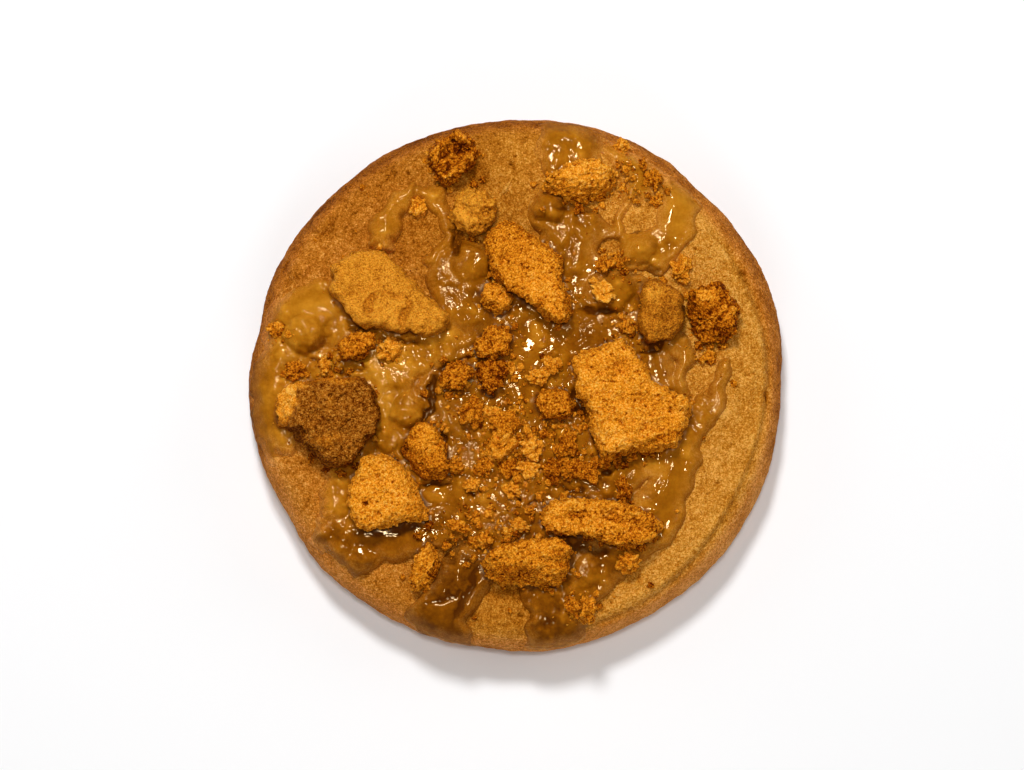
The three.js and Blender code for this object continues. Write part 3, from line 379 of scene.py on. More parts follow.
def past_crease(x, y):
    angle = np.arctan2(y, x)
    return np.hypot(x, y) - CREASE_RADIUS - 0.7 * np.sin(angle * 5 + 0.8)


def crease_drop(x, y):
    past = past_crease(x, y)
    groove = 0.6 * CREASE_DEPTH * np.exp(-((past / (0.6 * CREASE_WIDTH)) ** 2))
    return crease_strength(x, y) * (groove + CREASE_STEP * smooth_step(past / 1.6 + 0.5))


def lumps(x, y, places):
    height = np.zeros(np.shape(x))
    for lump_x, lump_y, radius, lump in places:
        away = np.clip(np.hypot(x - lump_x, y - lump_y) / radius, 0, 1)
        height = np.maximum(height, lump * np.sqrt(1 - away * away))
    return height


def uneven_lumps(x, y, places):
    """Lumps whose outline and top are irregular."""
    spots = flat_points(x, y)
    wide = 1.1 * smooth_noise(spots / 2.6, 31) + 0.5 * smooth_noise(spots / 1.2, 32)
    tall = 1.1 * smooth_noise(spots / 2.6, 33) + 0.5 * smooth_noise(spots / 1.2, 34)
    return lumps(x + wide, y + tall, places)


def place_changes(x, y, places):
    """How the tone and the height change at some marked places."""
    tone, height = np.zeros(len(x)), np.zeros(len(x))
    for place_x, place_y, half_width, half_height, turn, tone_change, height_change in places:
        reach = 1.5 * max(half_width, half_height)
        near = np.flatnonzero((np.abs(x - place_x) < reach) & (np.abs(y - place_y) < reach))
        dx, dy = x[near] - place_x, y[near] - place_y
        cosine, sine = math.cos(math.radians(turn)), math.sin(math.radians(turn))
        away = np.hypot((dx * cosine + dy * sine) / half_width, (dy * cosine - dx * sine) / half_height)
        weight = smooth_step((1.35 - away) / 0.8)
        tone[near] += tone_change * weight
        height[near] += height_change * weight
    return tone, height


def within(x, y, places):
    """1 inside any of some round places, 0 well outside them all."""
    most = np.zeros(len(x))
    for place_x, place_y, half_width, half_height in places:
        away = np.hypot((x - place_x) / half_width, (y - place_y) / half_height)
        most = np.maximum(most, smooth_step(1.5 - away))
    return most


def crumbliness(x, y):
    """How thickly fine crumbs lie at each point, from 0 to 1."""
    density = np.zeros(len(x))
    for heap_x, heap_y, width, share in CRUMB_HEAPS:
        density += 12 * share / width * np.exp(-((x - heap_x) ** 2 + (y - heap_y) ** 2) / (2 * (1.2 * width) ** 2))
    return np.minimum(density, 1)


def edge_drop(x, y):
    """How far down the rounded edge of the cookie is at each point."""
    share = np.hypot(x, y) / np.hypot(*edge_point(np.arctan2(y, x)).T)
    turn = np.clip((share - 1) * COOKIE_RADIUS / EDGE_WIDTH + 1, 0, 1)
    return EDGE_DROP * (1 - np.sqrt(1 - turn * turn))


def dough_height(x, y):
    share = np.minimum(1, np.hypot(x, y) / (COOKIE_RADIUS - EDGE_WIDTH))
    waves = 0.3 * np.sin(0.21 * x + 0.4) * np.sin(0.17 * y + 1.1) + 0.18 * np.sin(0.47 * x - 0.33 * y)
    return DOUGH_HEIGHT - DOME_DROP * share**2 + waves - crease_drop(x, y) + lumps(x, y, DOUGH_LUMPS)


def stroke_depth(x, y, path):
    """How far inside a stroke a point is, and its place across and along it."""
    depth = np.full(np.shape(x), -1e9)
    across = np.zeros(np.shape(x))
    for (ax, ay, a_width), (bx, by, b_width) in zip(path[:-1], path[1:]):
        dx, dy = bx - ax, by - ay
        along = np.clip(((x - ax) * dx + (y - ay) * dy) / (dx * dx + dy * dy), 0, 1)
        away = np.hypot(x - ax - along * dx, y - ay - along * dy)
        here = a_width + along * (b_width - a_width) - away
        side = ((x - ax) * dy - (y - ay) * dx) / math.hypot(dx, dy)
        across = np.where(here > depth, side, across)
        depth = np.maximum(depth, here)
    return depth, across


def shoulder(depth):
    share = np.clip(depth / LIP_WIDTH, 0, 1)
    return np.sqrt(share * (2 - share))


def spread_field(true_x, true_y):
    """Thickness of the spread, how far inside its edge each point is, and how light it is."""
    x = true_x + 0.5 * np.sin(0.55 * true_y + 1.3) + 0.3 * np.sin(1.25 * true_y - 0.4 * true_x + 0.5)
    y = true_y + 0.5 * np.sin(0.5 * true_x - 0.7) + 0.3 * np.sin(1.15 * true_x + 0.5 * true_y + 2.1)
    points = np.stack([x, y, np.zeros(np.shape(x))], axis=-1).reshape(-1, 3)
    ragged = 0.5 * layered_noise(points, 3.4, 3, 40).reshape(np.shape(x))
    height = np.zeros(np.shape(x))
    inside = np.full(np.shape(x), -1e9)
    light, weight = np.zeros(np.shape(x)), np.full(np.shape(x), 1e-6)
    for thickness, lightness, path in STROKES.values():
        depth, across = stroke_depth(x, y, path)
        depth = depth + ragged
        ridges = 1 + 0.05 * np.sin(across * 1.3 + 0.8 * np.sin(0.3 * (x + y)))
        height = np.maximum(height, thickness * ridges * shoulder(depth))
        inside = np.maximum(inside, depth)
        strength = smooth_step(depth / 3 + 0.3) ** 2 * thickness**2
        light, weight = light + lightness * strength, weight + strength
    for gap_x, gap_y, half_width, half_height in GAPS:
        away = np.hypot((x - gap_x) / half_width, (y - gap_y) / half_height)
        outside = (away - 1) * min(half_width, half_height) + ragged
        height = height * (1 - shoulder(-outside))
        inside = np.minimum(inside, outside)
    return height, inside, light / weight


def outline_distance(outline, x, y):
    """Distance from an outline, negative inside it."""
    nearest = np.full(np.shape(x), 1e9)
    crossings = np.zeros(np.shape(x), bool)
    for (ax, ay), (bx, by) in zip(outline, np.roll(outline, -1, axis=0)):
        dx, dy = bx - ax, by - ay
        along = np.clip(((x - ax) * dx + (y - ay) * dy) / (dx * dx + dy * dy + 1e-12), 0, 1)
        nearest = np.minimum(nearest, np.hypot(x - ax - along * dx, y - ay - along * dy))
        if ay != by:
            crossings ^= ((ay > y) != (by > y)) & (x < (bx - ax) * (y - ay) / (by - ay) + ax)
    return np.where(crossings, -nearest, nearest)


# ---- Meshes ----


def ring_shape(ring, rings):
    """A ring's distance from the middle, as a share of the radius, and how far the edge has turned down there."""
    flat = COOKIE_RADIUS - EDGE_WIDTH
    edge = (EDGE_WIDTH + EDGE_DROP) / 2 * math.pi / 2
    distance = ring / rings * (flat + edge)
    turn = max(0, (distance - flat) / edge) * math.pi / 2
    return (min(distance, flat) + EDGE_WIDTH * math.sin(turn)) / COOKIE_RADIUS, EDGE_DROP * (1 - math.cos(turn))


def disc_grid(rings):
    """Points of a disc where ring k holds 6k of them, as x, y and the drop of the edge, and its triangles."""
    middle = outline_middle()
    blocks = [np.zeros((1, 3))]
    for ring in range(1, rings + 1):
        share, drop = ring_shape(ring, rings)
        edge = edge_point(np.arange(6 * ring) / (6 * ring) * 2 * np.pi) - middle
        blocks.append(np.column_stack([edge * share, np.full(6 * ring, drop)]))
    triangles = []
    for ring in range(rings):
        start, outer_start = (0 if ring == 0 else 1 + 3 * ring * (ring - 1)), 1 + 3 * ring * (ring + 1)
        count, outer_count = max(1, 6 * ring), 6 * (ring + 1)
        sector, step = np.divmod(np.arange(6 * (ring + 1)), ring + 1)
        inner = start + (sector * ring + step) % count
        outer = outer_start + np.arange(outer_count)
        after = outer_start + (np.arange(outer_count) + 1) % outer_count
        triangles.append(np.column_stack([inner, outer, after]))
        if ring:
            between = step < ring
            beside = start + (sector * ring + step + 1) % count
            triangles.append(np.column_stack([inner, after, beside])[between])
    return np.concatenate(blocks), np.concatenate(triangles)


def thinned(points, faces, attributes, hidden, size):
    """Merges hidden points that lie close together, which leaves few of the triangles between them."""
    cells = np.floor(points / size).astype(np.int64) + 1000
    keys = (cells[:, 0] * 4096 + cells[:, 1]) * 4096 + cells[:, 2]
    keys = np.where(hidden, keys, -1 - np.arange(len(points)))
    _, group = np.unique(keys, return_inverse=True)
    count = np.bincount(group)
    points = np.stack([np.bincount(group, weights=axis) / count for axis in points.T], axis=1)
    attributes = {key: np.bincount(group, weights=values) / count for key, values in attributes.items()}
    faces = group[faces]
    apart = (faces != np.roll(faces, 1, axis=1)).all(axis=1)
    return points, faces[apart], attributes


def add_object(name, data):
    made = bpy.data.objects.new(name, data)
    bpy.context.scene.collection.objects.link(made)
    return made


def new_object(name, points, faces, attributes):
    """An object from points in millimetres and triangles, shaded smooth."""
    mesh = bpy.data.meshes.new(name)
    mesh.vertices.add(len(points))
    mesh.vertices.foreach_set("co", np.asarray(points, np.float32).ravel() * MM)
    mesh.loops.add(3 * len(faces))
    mesh.loops.foreach_set("vertex_index", np.asarray(faces, np.int32).ravel())
    mesh.polygons.add(len(faces))
    mesh.polygons.foreach_set("loop_start", np.arange(0, 3 * len(faces), 3, dtype=np.int32))
    mesh.polygons.foreach_set("use_smooth", np.ones(len(faces), bool))
    mesh.update(calc_edges=True)
    for key, values in attributes.items():
        mesh.attributes.new(key, "FLOAT", "POINT").data.foreach_set("value", np.asarray(values, np.float32))
    mesh.validate()
    return add_object(name, mesh)


def dress(piece, slot, material, *nodes):
    """Gives a piece its material, hides the CAD nodes that it stands in for, and hangs it on the root."""
    piece.data.materials.clear()
    piece.data.materials.append(material)
    if nodes:
        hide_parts(*nodes)
    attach(piece, "root")
    return piece


def band(first, second, count):
    """Triangles between two rings of points, the first inside or above the second."""
    here = np.arange(count)
    after = (here + 1) % count
    return np.concatenate([
        np.column_stack([first + here, second + here, second + after]),
        np.column_stack([first + here, second + after, first + after]),
    ])


# ---- Dough ----


def dough_relief(x, y):
    """Fine unevenness of the baked dough, and its tone: darker in its pits and cracks, as painted shade, and lighter
    on its raised grain, as painted light.
    """
    flat = flat_points(x, y)
    right = smooth_step((x + 10) / 40)
    rough = 0.22 * layered_noise(flat, 2.4, 3, 1) * (1.2 - 0.3 * right) + 0.28 * layered_noise(flat, 7, 2, 5)
    near, chance = grains(flat, 2.6, 9)
    pits = np.where(chance < 0.34, smooth_step((0.14 + 0.14 * chance - near) / 0.1), 0)
    grit = 0.5 - grains(flat, 1.05, 11)[0]
    wobble = 0.8 * smooth_noise(flat / 9, 3)
    radius = np.hypot(x, y)
    ripples = 0.1 * np.sin((radius + wobble) * 2.6) * crease_strength(x, y) * smooth_step((radius - 34) / 8)
    tone, height = place_changes(x, y, DOUGH_MARKS_AND_SHADE)
    fine = 0.26 * grit * (1.2 - 0.3 * right)
    # The tone is painted shade in the pits and painted light on the grain and rises, plus the marked places.
    return rough + ripples + fine - 0.45 * pits + height, tone - 0.4 * pits + 0.6 * fine + 0.25 * rough


def dough_tone(points):
    """How light the dough is: paler to the right; lighter near the lower rim, as painted light where the rim slopes
    away from the key lamp; darker along the crease, as painted shade in its groove.
    """
    x, y = points[:, 0], points[:, 1]
    radius = np.hypot(x, y)
    upper_left = smooth_step(y / 20) * smooth_step((10 - x) / 20)
    tone = 0.56 + 0.17 * smooth_step((x + 8) / 38) + 0.04 * smooth_step((-x - 38) / 6)
    tone = tone + 0.1 * layered_noise(points, 5, 3, 21)
    # Painted light: the lower rim is made lighter where it turns away from the key lamp.
    tone = tone + 0.08 * smooth_step((radius - 47) / 4) * smooth_step(-y / 20)
    tone = tone - 0.24 * smooth_step((radius - 50) / 2.8) * smooth_step((y + 25) / 20)
    tone = tone - (0.03 + 0.05 * smooth_step((radius - 44) / 6)) * upper_left
    # Painted shade along the crease's groove.
    return tone - 0.15 * crease_strength(x, y) * np.exp(-((past_crease(x, y) / 0.8) ** 2))


def baked(points):
    """How far the dough has turned from yellow to reddish brown: on the left and round the edge."""
    radius = np.hypot(points[:, 0], points[:, 1])
    return np.clip(0.15 + 0.45 * smooth_step((-points[:, 0] - 2) / 28) + smooth_step((radius - 49.5) / 3), 0, 1)


SIDE_SETBACK = 0.24  # how far the side stands back between its bumps
# Under the spread the dough is coarse: this far inside the spread's edge, up to this distance from the middle.
COARSE_INSIDE, COARSE_RADIUS = 2.4, 49.5


def edge_bumps(points):
    """How far the cookie's side stands out."""
    return 0.18 * layered_noise(points, 2.4, 3, 60) + 0.25 * layered_noise(points, 7, 2, 64) - SIDE_SETBACK


def relief_fade(drop):
    """The top's relief gives way to the side's bumps down the rounded edge."""
    return 1 - smooth_step(drop / (0.6 * EDGE_DROP))


def build_dough():
    grid, faces = disc_grid(DOUGH_RINGS)
    x, y, drop = grid.T
    relief, spots = dough_relief(x, y)
    fade = relief_fade(drop)
    points = np.column_stack([x, y, dough_height(x, y) - drop + relief * fade])
    swell = edge_bumps(points) * (1 - fade) / np.maximum(np.hypot(x, y), 1)
    count = 6 * DOUGH_RINGS
    widest = points[-count:].copy()
    points[:, :2] *= (1 + swell)[:, None]
    blocks, above = [points], len(points) - count
    triangles = [faces]
    for ring in range(1, SIDE_RINGS + 1):
        turn = ring / SIDE_RINGS * math.pi / 2
        reach = np.hypot(widest[:, 0], widest[:, 1])
        share = 1 - FOOT_INSET * (1 - math.cos(turn)) / reach
        level = widest[:, 2] * (1 - math.sin(turn))
        side = np.column_stack([widest[:, 0] * share, widest[:, 1] * share, level])
        side[:, :2] *= (1 + edge_bumps(side) * math.cos(turn) / reach)[:, None]
        below = above + count
        triangles.append(band(above, below, count))
        blocks.append(side)
        above = below
    last = above + count
    blocks.append(np.zeros((1, 3)))
    here = np.arange(count)
    triangles.append(np.column_stack([np.full(count, last), above + (here + 1) % count, above + here]))
    points = np.concatenate(blocks)
    tone = dough_tone(points)
    tone[: len(spots)] += spots * fade
    # Lighter where the side's bumps stand out and darker between them: painted light and shade.
    tone += 0.6 * (edge_bumps(points) + SIDE_SETBACK) * smooth_step((np.hypot(points[:, 0], points[:, 1]) - 50) / 3)
    hidden = np.zeros(len(points), bool)
    hidden[: len(x)] = (spread_field(x, y)[1] > COARSE_INSIDE) & (np.hypot(x, y) < COARSE_RADIUS)
    attributes = {"tone": tone, "baked": baked(points)}
    return new_object("dough", *thinned(points, np.concatenate(triangles), attributes, hidden, 2.0))


# ---- Spread ----


# Towards the cookie's edge the spread thins to a skin, then takes on the dough's colour and sinks into it: where each
# starts, as a distance from the middle, and over what width.
SKIN_FROM, SKIN_WIDTH, SKIN_HEIGHT = 48.8, 3, 0.25
FADE_FROM, FADE_WIDTH = 50.6, 1.8
SINK_FROM, SINK_WIDTH = 51.4, 1.6
SPREAD_RADIUS = 52.6
SIDE_STANDING, SIDE_SINK, SIDE_INSET = 0.2, 0.9, 1.4
CUT_DEPTH = 0.9  # how far outside its edge the spread's sheet reaches, below the dough


def spread_surface(x, y):
    """The spread's top: its height, how far inside its edge, how light it is, how high its bumps are, its crumbs."""
    thickness, inside, light = spread_field(x, y)
    flat = flat_points(x, y)
    rough = 1 - 0.9 * within(x, y, CALM_PLACES)
    soft = 0.34 * layered_noise(flat, 5, 2, 71) * (0.15 + 0.85 * rough) + 0.2 * layered_noise(flat, 2.3, 2, 75) * rough
    near, chance = grains(flat, 2.8, 78)
    lumpy = np.where(chance < 0.5, (0.3 + 0.6 * chance) * smooth_step(1 - near / 0.62), 0)
    near, chance = grains(flat, 1.4, 79)
    lumpy += np.where(chance < 0.5, 0.3 * smooth_step(1 - near / 0.6), 0)
    lively = within(x, y, LIVELY_PLACES)
    ripples = (0.08 + 0.06 * lively) * rough * (smooth_noise(flat / 1.1, 104) + 0.6 * smooth_noise(flat / 0.6, 108))
    bumps = smooth_step(inside / 1.6) * (soft + lumpy * rough * (1 - 0.45 * lively) + ripples)
    near, chance = grains(flat, 1.0, 96)
    clumps = smooth_step(0.75 + 1.6 * layered_noise(flat, 3.2, 2, 97))
    crumbs = np.where(chance < 0.85 * crumbliness(x, y) * clumps, smooth_step(1.25 - near / 0.5), 0)
    shift = [1.1 * layered_noise(flat, 2.6, 2, seed) for seed in (98, 101)]
    # Painted shade in the furrows and painted highlights on the pale spots.
    tone, change = place_changes(x + shift[0], y + shift[1], SPREAD_FURROWS_SHADE_AND_HIGHLIGHTS)
    height = dough_height(x, y) + thickness + uneven_lumps(x, y, SPREAD_LUMPS) + bumps + change
    for *place, level in PUDDLES:
        level = dough_height(*place[:2]) + level + 0.1 * (soft + lumpy) + 0.6 * ripples
        height += within(x + 0.4 * shift[0], y + 0.4 * shift[1], [place]) * (level - height)
    return height + 0.35 * crumbs, inside, light + 1.1 * tone, bumps, crumbs


def beside_pieces(x, y, outlines):
    """Near a piece the spread climbs up a little in some places and gapes in others. Also how near a piece is."""
    height, nearness = np.zeros(len(x)), np.zeros(len(x))
    flat = flat_points(x, y)
    climb = 0.1 + 1.3 * smooth_noise(flat / 3.5, 82)
    for outline in outlines:
        reach = 3 + np.ptp(outline, axis=0).max() / 2
        middle = (outline.max(0) + outline.min(0)) / 2
        near = np.flatnonzero(np.hypot(x - middle[0], y - middle[1]) < 1.5 * reach)
        away = np.maximum(outline_distance(outline, x[near], y[near]), 0)
        height[near] += climb[near] * np.exp(-away / 0.6)
        nearness[near] = np.maximum(nearness[near], np.exp(-((away / 0.8) ** 2)))
    return height, nearness


def build_spread(outlines):
    grid, faces = disc_grid(SPREAD_RINGS)
    x, y, drop = grid.T
    top, inside, light, bumps, crumbs = spread_surface(x, y)
    ragged = 0.6 * smooth_noise(flat_points(x, y) / 2.5, 85)
    inside = np.minimum(inside, SPREAD_RADIUS + ragged + within(x, y, OVER_EDGE) - np.hypot(x, y))
    covered = np.maximum(inside, 2.2 * (uneven_lumps(x, y, SPREAD_LUMPS) > 0.2) - 0.6)
    climb, nearness = beside_pieces(x, y, outlines)
    thin = (0.3 + 0.7 * within(x, y, SOFT_PLACES)) * (1 - smooth_step((covered + ragged) / 3.2))
    top = top + climb * smooth_step(inside / 1.5) - 1.1 * thin
    reach = np.hypot(x, y) + ragged - 1.8 * within(x, y, OVER_EDGE)
    sunk = smooth_step((reach - SINK_FROM) / SINK_WIDTH)
    skin = dough_height(x, y) + SKIN_HEIGHT + dough_relief(x, y)[0] * relief_fade(drop)
    top = top + smooth_step((reach - SKIN_FROM) / SKIN_WIDTH) * (skin - top)
    top = top - 1.1 * smooth_step(-covered / 0.8 + 0.15) - 0.8 * sunk
    thin = np.maximum(thin, smooth_step((reach - FADE_FROM) / FADE_WIDTH))
    kept = faces[(covered[faces] > -CUT_DEPTH).all(axis=1)]
    used, kept = np.unique(kept, return_inverse=True)
    kept = kept.reshape(-1, 3)
    upper = np.column_stack([x, y, top - drop])[used]
    lower = upper.copy()
    lower[:, 2] = np.minimum(upper[:, 2] - 0.3, (dough_height(x, y) - drop)[used] - CUT_DEPTH)
    steep = ((1 - relief_fade(drop)) / np.maximum(np.hypot(x, y), 1))[used]
    lower[:, :2] *= (1 - SIDE_INSET * steep)[:, None]
    upper[:, :2] *= (1 + (edge_bumps(upper) + SIDE_STANDING - SIDE_SINK * sunk[used]) * steep)[:, None]
    edges = np.concatenate([kept[:, [0, 1]], kept[:, [1, 2]], kept[:, [2, 0]]])
    keys = set(map(tuple, edges))
    rim = np.array([(a, b) for a, b in edges if (b, a) not in keys])
    count = len(upper)
    walls = np.concatenate([
        np.column_stack([rim[:, 1], rim[:, 0], rim[:, 0] + count]),
        np.column_stack([rim[:, 1], rim[:, 0] + count, rim[:, 1] + count]),
    ])
    triangles = np.concatenate([kept, kept[:, ::-1] + count, walls])
    # Painted light and shade: lighter on the bumps, darker next to the pieces, where they shade the spread. It is also
    # a little darker at its edges.
    shade = light[used] + 0.12 * layered_noise(upper, 4, 3, 90) + 0.55 * (bumps[used] - 0.15) - 0.35 * nearness[used]
    shade = shade - 0.15 * (1 - smooth_step(covered[used] / 0.7))
    attributes = {
        "tone": shade,
        "rough": np.maximum(0.6 - 0.5 * within(x, y, CALM_PLACES) + within(x, y, LIVELY_PLACES), 0.1)[used],
        "matte": np.maximum(np.maximum(thin, crumbs), 0.8 * nearness)[used],
        "thin": thin[used],
        "thin_baked": thin[used] * baked(upper),
        "dough_tone": dough_tone(upper) + dough_relief(upper[:, 0], upper[:, 1])[1],
        "crumbs": crumbs[used],
        "crumb_tone": 0.4 + 0.3 * layered_noise(upper, 1.6, 2, 93),
    }
    attributes = {key: np.tile(values, 2) for key, values in attributes.items()}
    hidden = np.arange(2 * count) >= count
    for outline in outlines:
        hidden[:count] |= outline_distance(outline, upper[:, 0], upper[:, 1]) < -1.5
    return new_object("spread", *thinned(np.concatenate([upper, lower]), triangles, attributes, hidden, 1.5))


# ---- Pieces of biscuit ----

SMOOTH_ROUNDS = 34
BISCUIT_SHADE = 0.78  # the share of their tone that biscuit and crumbs keep


def vectors_of(items, key):
    values = np.empty(3 * len(items), np.float32)
    items.foreach_get(key, values)
    return values.reshape(-1, 3).astype(float)


def points_of(mesh):
    return vectors_of(mesh.vertices, "co")


def remeshed(node, voxel):
    """A copy of a CAD node as an even mesh of small faces, in millimetres."""
    mesh = node.data.copy()
    mesh.materials.clear()
    mesh.vertices.foreach_set("co", (points_of(mesh) / MM).astype(np.float32).ravel())
    work = add_object("work", mesh)
    weld = work.modifiers.new("weld", "WELD")
    weld.merge_threshold = 0.001
    remesh = work.modifiers.new("remesh", "REMESH")
    remesh.mode = "VOXEL"
    remesh.voxel_size = voxel
    smooth = work.modifiers.new("smooth", "SMOOTH")
    smooth.iterations = SMOOTH_ROUNDS
    smooth.factor = 0.5
    result = bpy.data.meshes.new_from_object(work.evaluated_get(bpy.context.evaluated_depsgraph_get()))
    bpy.data.objects.remove(work)
    return result


def triangles_of(mesh):
    mesh.calc_loop_triangles()
    values = np.empty(3 * len(mesh.loop_triangles), np.int32)
    mesh.loop_triangles.foreach_get("vertices", values)
    return values.reshape(-1, 3)


def build_piece(name, node, seed):
    tone, grain, coat = PIECE_LOOKS[name]
    mesh = remeshed(node, PIECE_VOXEL)
    points, normals = points_of(mesh), vectors_of(mesh.vertex_normals, "vector")
    faces = triangles_of(mesh)
    bpy.data.meshes.remove(mesh)
    spot = points + seed * 37.0
    rough = (0.6 + 0.3 * coat) * layered_noise(spot, 4.2, 2, 100)
    rough += (0.5 - 0.15 * coat) * layered_noise(spot, 1.8, 2, 104)
    fine = 0.2 * layered_noise(spot, 0.75, 2, 106)
    near, chance = grains(spot, 0.85 if name in COARSE_PIECES else 0.62, 110)
    grit = (0.5 - near) * (0.6 + 0.8 * chance)
    chunk, fate = grains(spot, 1.35, 113)
    sponge = smooth_noise(spot / 0.95, 115) + 0.6 * smooth_noise(spot / 0.5, 116) + 0.5 * smooth_noise(spot / 2.5, 117)
    holes = smooth_step((sponge - 0.62 + 0.22 * grain) / 0.25)
    shift = [0.8 * layered_noise(spot, 1.8, 2, seed) for seed in (130, 132)]
    place_tone, place_height = place_changes(points[:, 0] + shift[0], points[:, 1] + shift[1], PIECE_MARKS_LIGHT_AND_SHADE)
    side = smooth_step((0.75 - normals[:, 2]) / 0.5)
    crumbly = 0.36 * grit + fine
    chunks = (0.5 - chunk) * (0.4 + fate) * side * min(grain, 1)
    push = rough + 0.2 + crumbly * grain * (0.9 + 0.5 * side) + 0.6 * chunks - 0.5 * holes * (grain > 0.5)
    up = np.clip(normals[:, 2], 0, 1)
    points = points + normals * push[:, None]
    points[:, 2] += place_height * up
    # The tone carries painted light and shade: darker on the sides and in the holes, lighter on the grain and on the
    # chunks that stand out.
    value = tone + place_tone * (0.4 + 0.6 * up) + 0.85 * crumbly * grain - 0.34 * holes - 0.2 * side + 0.3 * chunks
    value = BISCUIT_SHADE * (value + 0.1 * layered_noise(spot, 2.5, 2, 120))
    attributes = {"tone": value / BISCUIT_SHADE if "coated" in name else value}
    if name in DARK_PIECES:
        gold, gold_tone = np.ones(len(points)), value
        if name == "piece_dark_left":
            gold = np.clip(2.3 * place_tone + 0.4 * layered_noise(spot, 1.6, 2, 125) * (place_tone > 0.05), 0, 1)
            gold_tone = value + 0.15
        # Darker on the sides here too: painted shade.
        attributes = {"tone": 0.5 + 0.9 * (value - 0.3) - 0.15 * side, "gold_tone": gold_tone, "gold": gold}
    hidden = (normals[:, 2] < -0.5) & (points[:, 2] < dough_height(points[:, 0], points[:, 1]) + 2.5)
    made = new_object(name + "_looks", *thinned(points, faces, attributes, hidden, 1.2))
    bpy.context.view_layer.update()
    return made


# ---- Crumbs ----

# Scattered crumbs: the share that lies along the pieces, and how far the rest spread and reach.
SHARE_AT_PIECES, LOOSE_SPREAD, LOOSE_REACH = 0.28, 24, 50


def ball(subdivisions):
    work = bmesh.new()
    bmesh.ops.create_icosphere(work, subdivisions=subdivisions, radius=1)
    points = np.array([v.co[:] for v in work.verts])
    faces = np.array([[v.index for v in f.verts] for f in work.faces])
    work.free()
    return points, faces


def crumb_heap(name, places, subdivisions, seed, tones):
    """One mesh of many uneven crumbs. A place is x, y, height of the middle, radius."""
    rng = np.random.default_rng(seed)
    shape, faces = ball(subdivisions)
    points, triangles, tone = [], [], []
    for index, (x, y, z, radius) in enumerate(places):
        turn = np.linalg.qr(rng.normal(size=(3, 3)))[0]
        turn[:, 0] *= np.sign(np.linalg.det(turn))
        offset = index * 17.3
        bulge = 0.65 * smooth_noise(shape * 1.3 + offset, seed) + 0.5 * smooth_noise(shape * 2.8 + offset, seed + 1)
        body = (shape * radius * rng.uniform(0.6, 1.35, 3) * (1 + bulge)[:, None]) @ turn.T
        body[:, 2] *= 0.8
        near = grains(body + offset, 0.7, seed + 2)[0]
        grit = (0.5 - near) * 0.55 * min(1, radius)
        body = body + (shape @ turn.T) * grit[:, None]
        points.append(body + (x, y, z))
        triangles.append(faces + index * len(shape))
        # Lighter where the crumb bulges and its grain stands out, darker between: painted light and shade.
        tone.append(BISCUIT_SHADE * (tones[index] + 1.1 * grit + 0.3 * bulge + 0.1 * rng.normal()))
    return new_object(name, np.concatenate(points), np.concatenate(triangles), {"tone": np.concatenate(tone)})


def on_surface(x, y):
    """Height of the cookie's top, with its spread."""
    x, y = np.atleast_1d(x).astype(float), np.atleast_1d(y).astype(float)
    top, inside, *_ = spread_surface(x, y)
    return np.where(inside > 0, top, dough_height(x, y)) - edge_drop(x, y)


def fine_places(outlines, rng, count, smallest, largest):
    """Scattered crumbs: thickest in the middle and below the pieces that they broke from."""
    heaps = np.array(CRUMB_HEAPS)
    limits = np.cumsum(heaps[:, 3])
    x, y = [], []
    while len(x) < count:
        draw = rng.random()
        if draw < limits[-1]:
            heap_x, heap_y, width, _ = heaps[np.searchsorted(limits, draw)]
            spot = np.array([heap_x, heap_y]) + rng.normal(size=2) * width
        elif draw < limits[-1] + SHARE_AT_PIECES:
            outline = outlines[rng.integers(len(outlines))]
            spot = outline[rng.integers(len(outline))] + rng.normal(size=2) * 0.9
        else:
            spot = rng.normal(size=2) * LOOSE_SPREAD
        if np.hypot(*spot) < LOOSE_REACH and all(outline_distance(o, *spot) > 0.1 for o in outlines):
            x.append(spot[0])
            y.append(spot[1])
    radius = smallest + (largest - smallest) * rng.random(count) ** 2
    return np.column_stack([x, y, on_surface(np.array(x), np.array(y)) + 0.2 * radius, radius])


# ---- Materials ----


def add_node(tree, kind, **inputs):
    made = tree.nodes.new(kind)
    for key, value in inputs.items():
        made.inputs[key.replace("_", " ")].default_value = value
    return made


def add_math(tree, operation, first, second):
    made = tree.nodes.new("ShaderNodeMath")
    made.operation = operation
    for socket, value in zip(made.inputs, (first, second)):
        if isinstance(value, (int, float)):
            socket.default_value = value
        else:
            tree.links.new(value, socket)
    return made.outputs[0]


def attribute_of(tree, name):
    made = tree.nodes.new("ShaderNodeAttribute")
    made.attribute_name = name
    return made.outputs["Fac"]


def pattern_of(tree, kind, size_mm):
    """Noise or cells of a size."""
    coordinates = tree.nodes.new("ShaderNodeTexCoord")
    if kind == "noise":
        made = add_node(tree, "ShaderNodeTexNoise", Scale=1 / (size_mm * MM), Detail=3.0, Roughness=0.55)
    else:
        made = add_node(tree, "ShaderNodeTexVoronoi", Scale=1 / (size_mm * MM))
    tree.links.new(coordinates.outputs["Object"], made.inputs["Vector"])
    return made.outputs["Fac" if kind == "noise" else "Distance"]


def ramp_of(tree, value, stops):
    ramp = tree.nodes.new("ShaderNodeValToRGB")
    elements = ramp.color_ramp.elements
    while len(elements) < len(stops):
        elements.new(0.5)
    for element, (place, color) in zip(elements, stops):
        element.position = place
        element.color = (*color, 1)
    tree.links.new(value, ramp.inputs["Fac"])
    return ramp.outputs["Color"]


def bump_of(tree, height, distance_mm, below):
    bump = add_node(tree, "ShaderNodeBump", Strength=1.0, Distance=distance_mm * MM)
    tree.links.new(height, bump.inputs["Height"])
    if below:
        tree.links.new(below, bump.inputs["Normal"])
    return bump.outputs["Normal"]


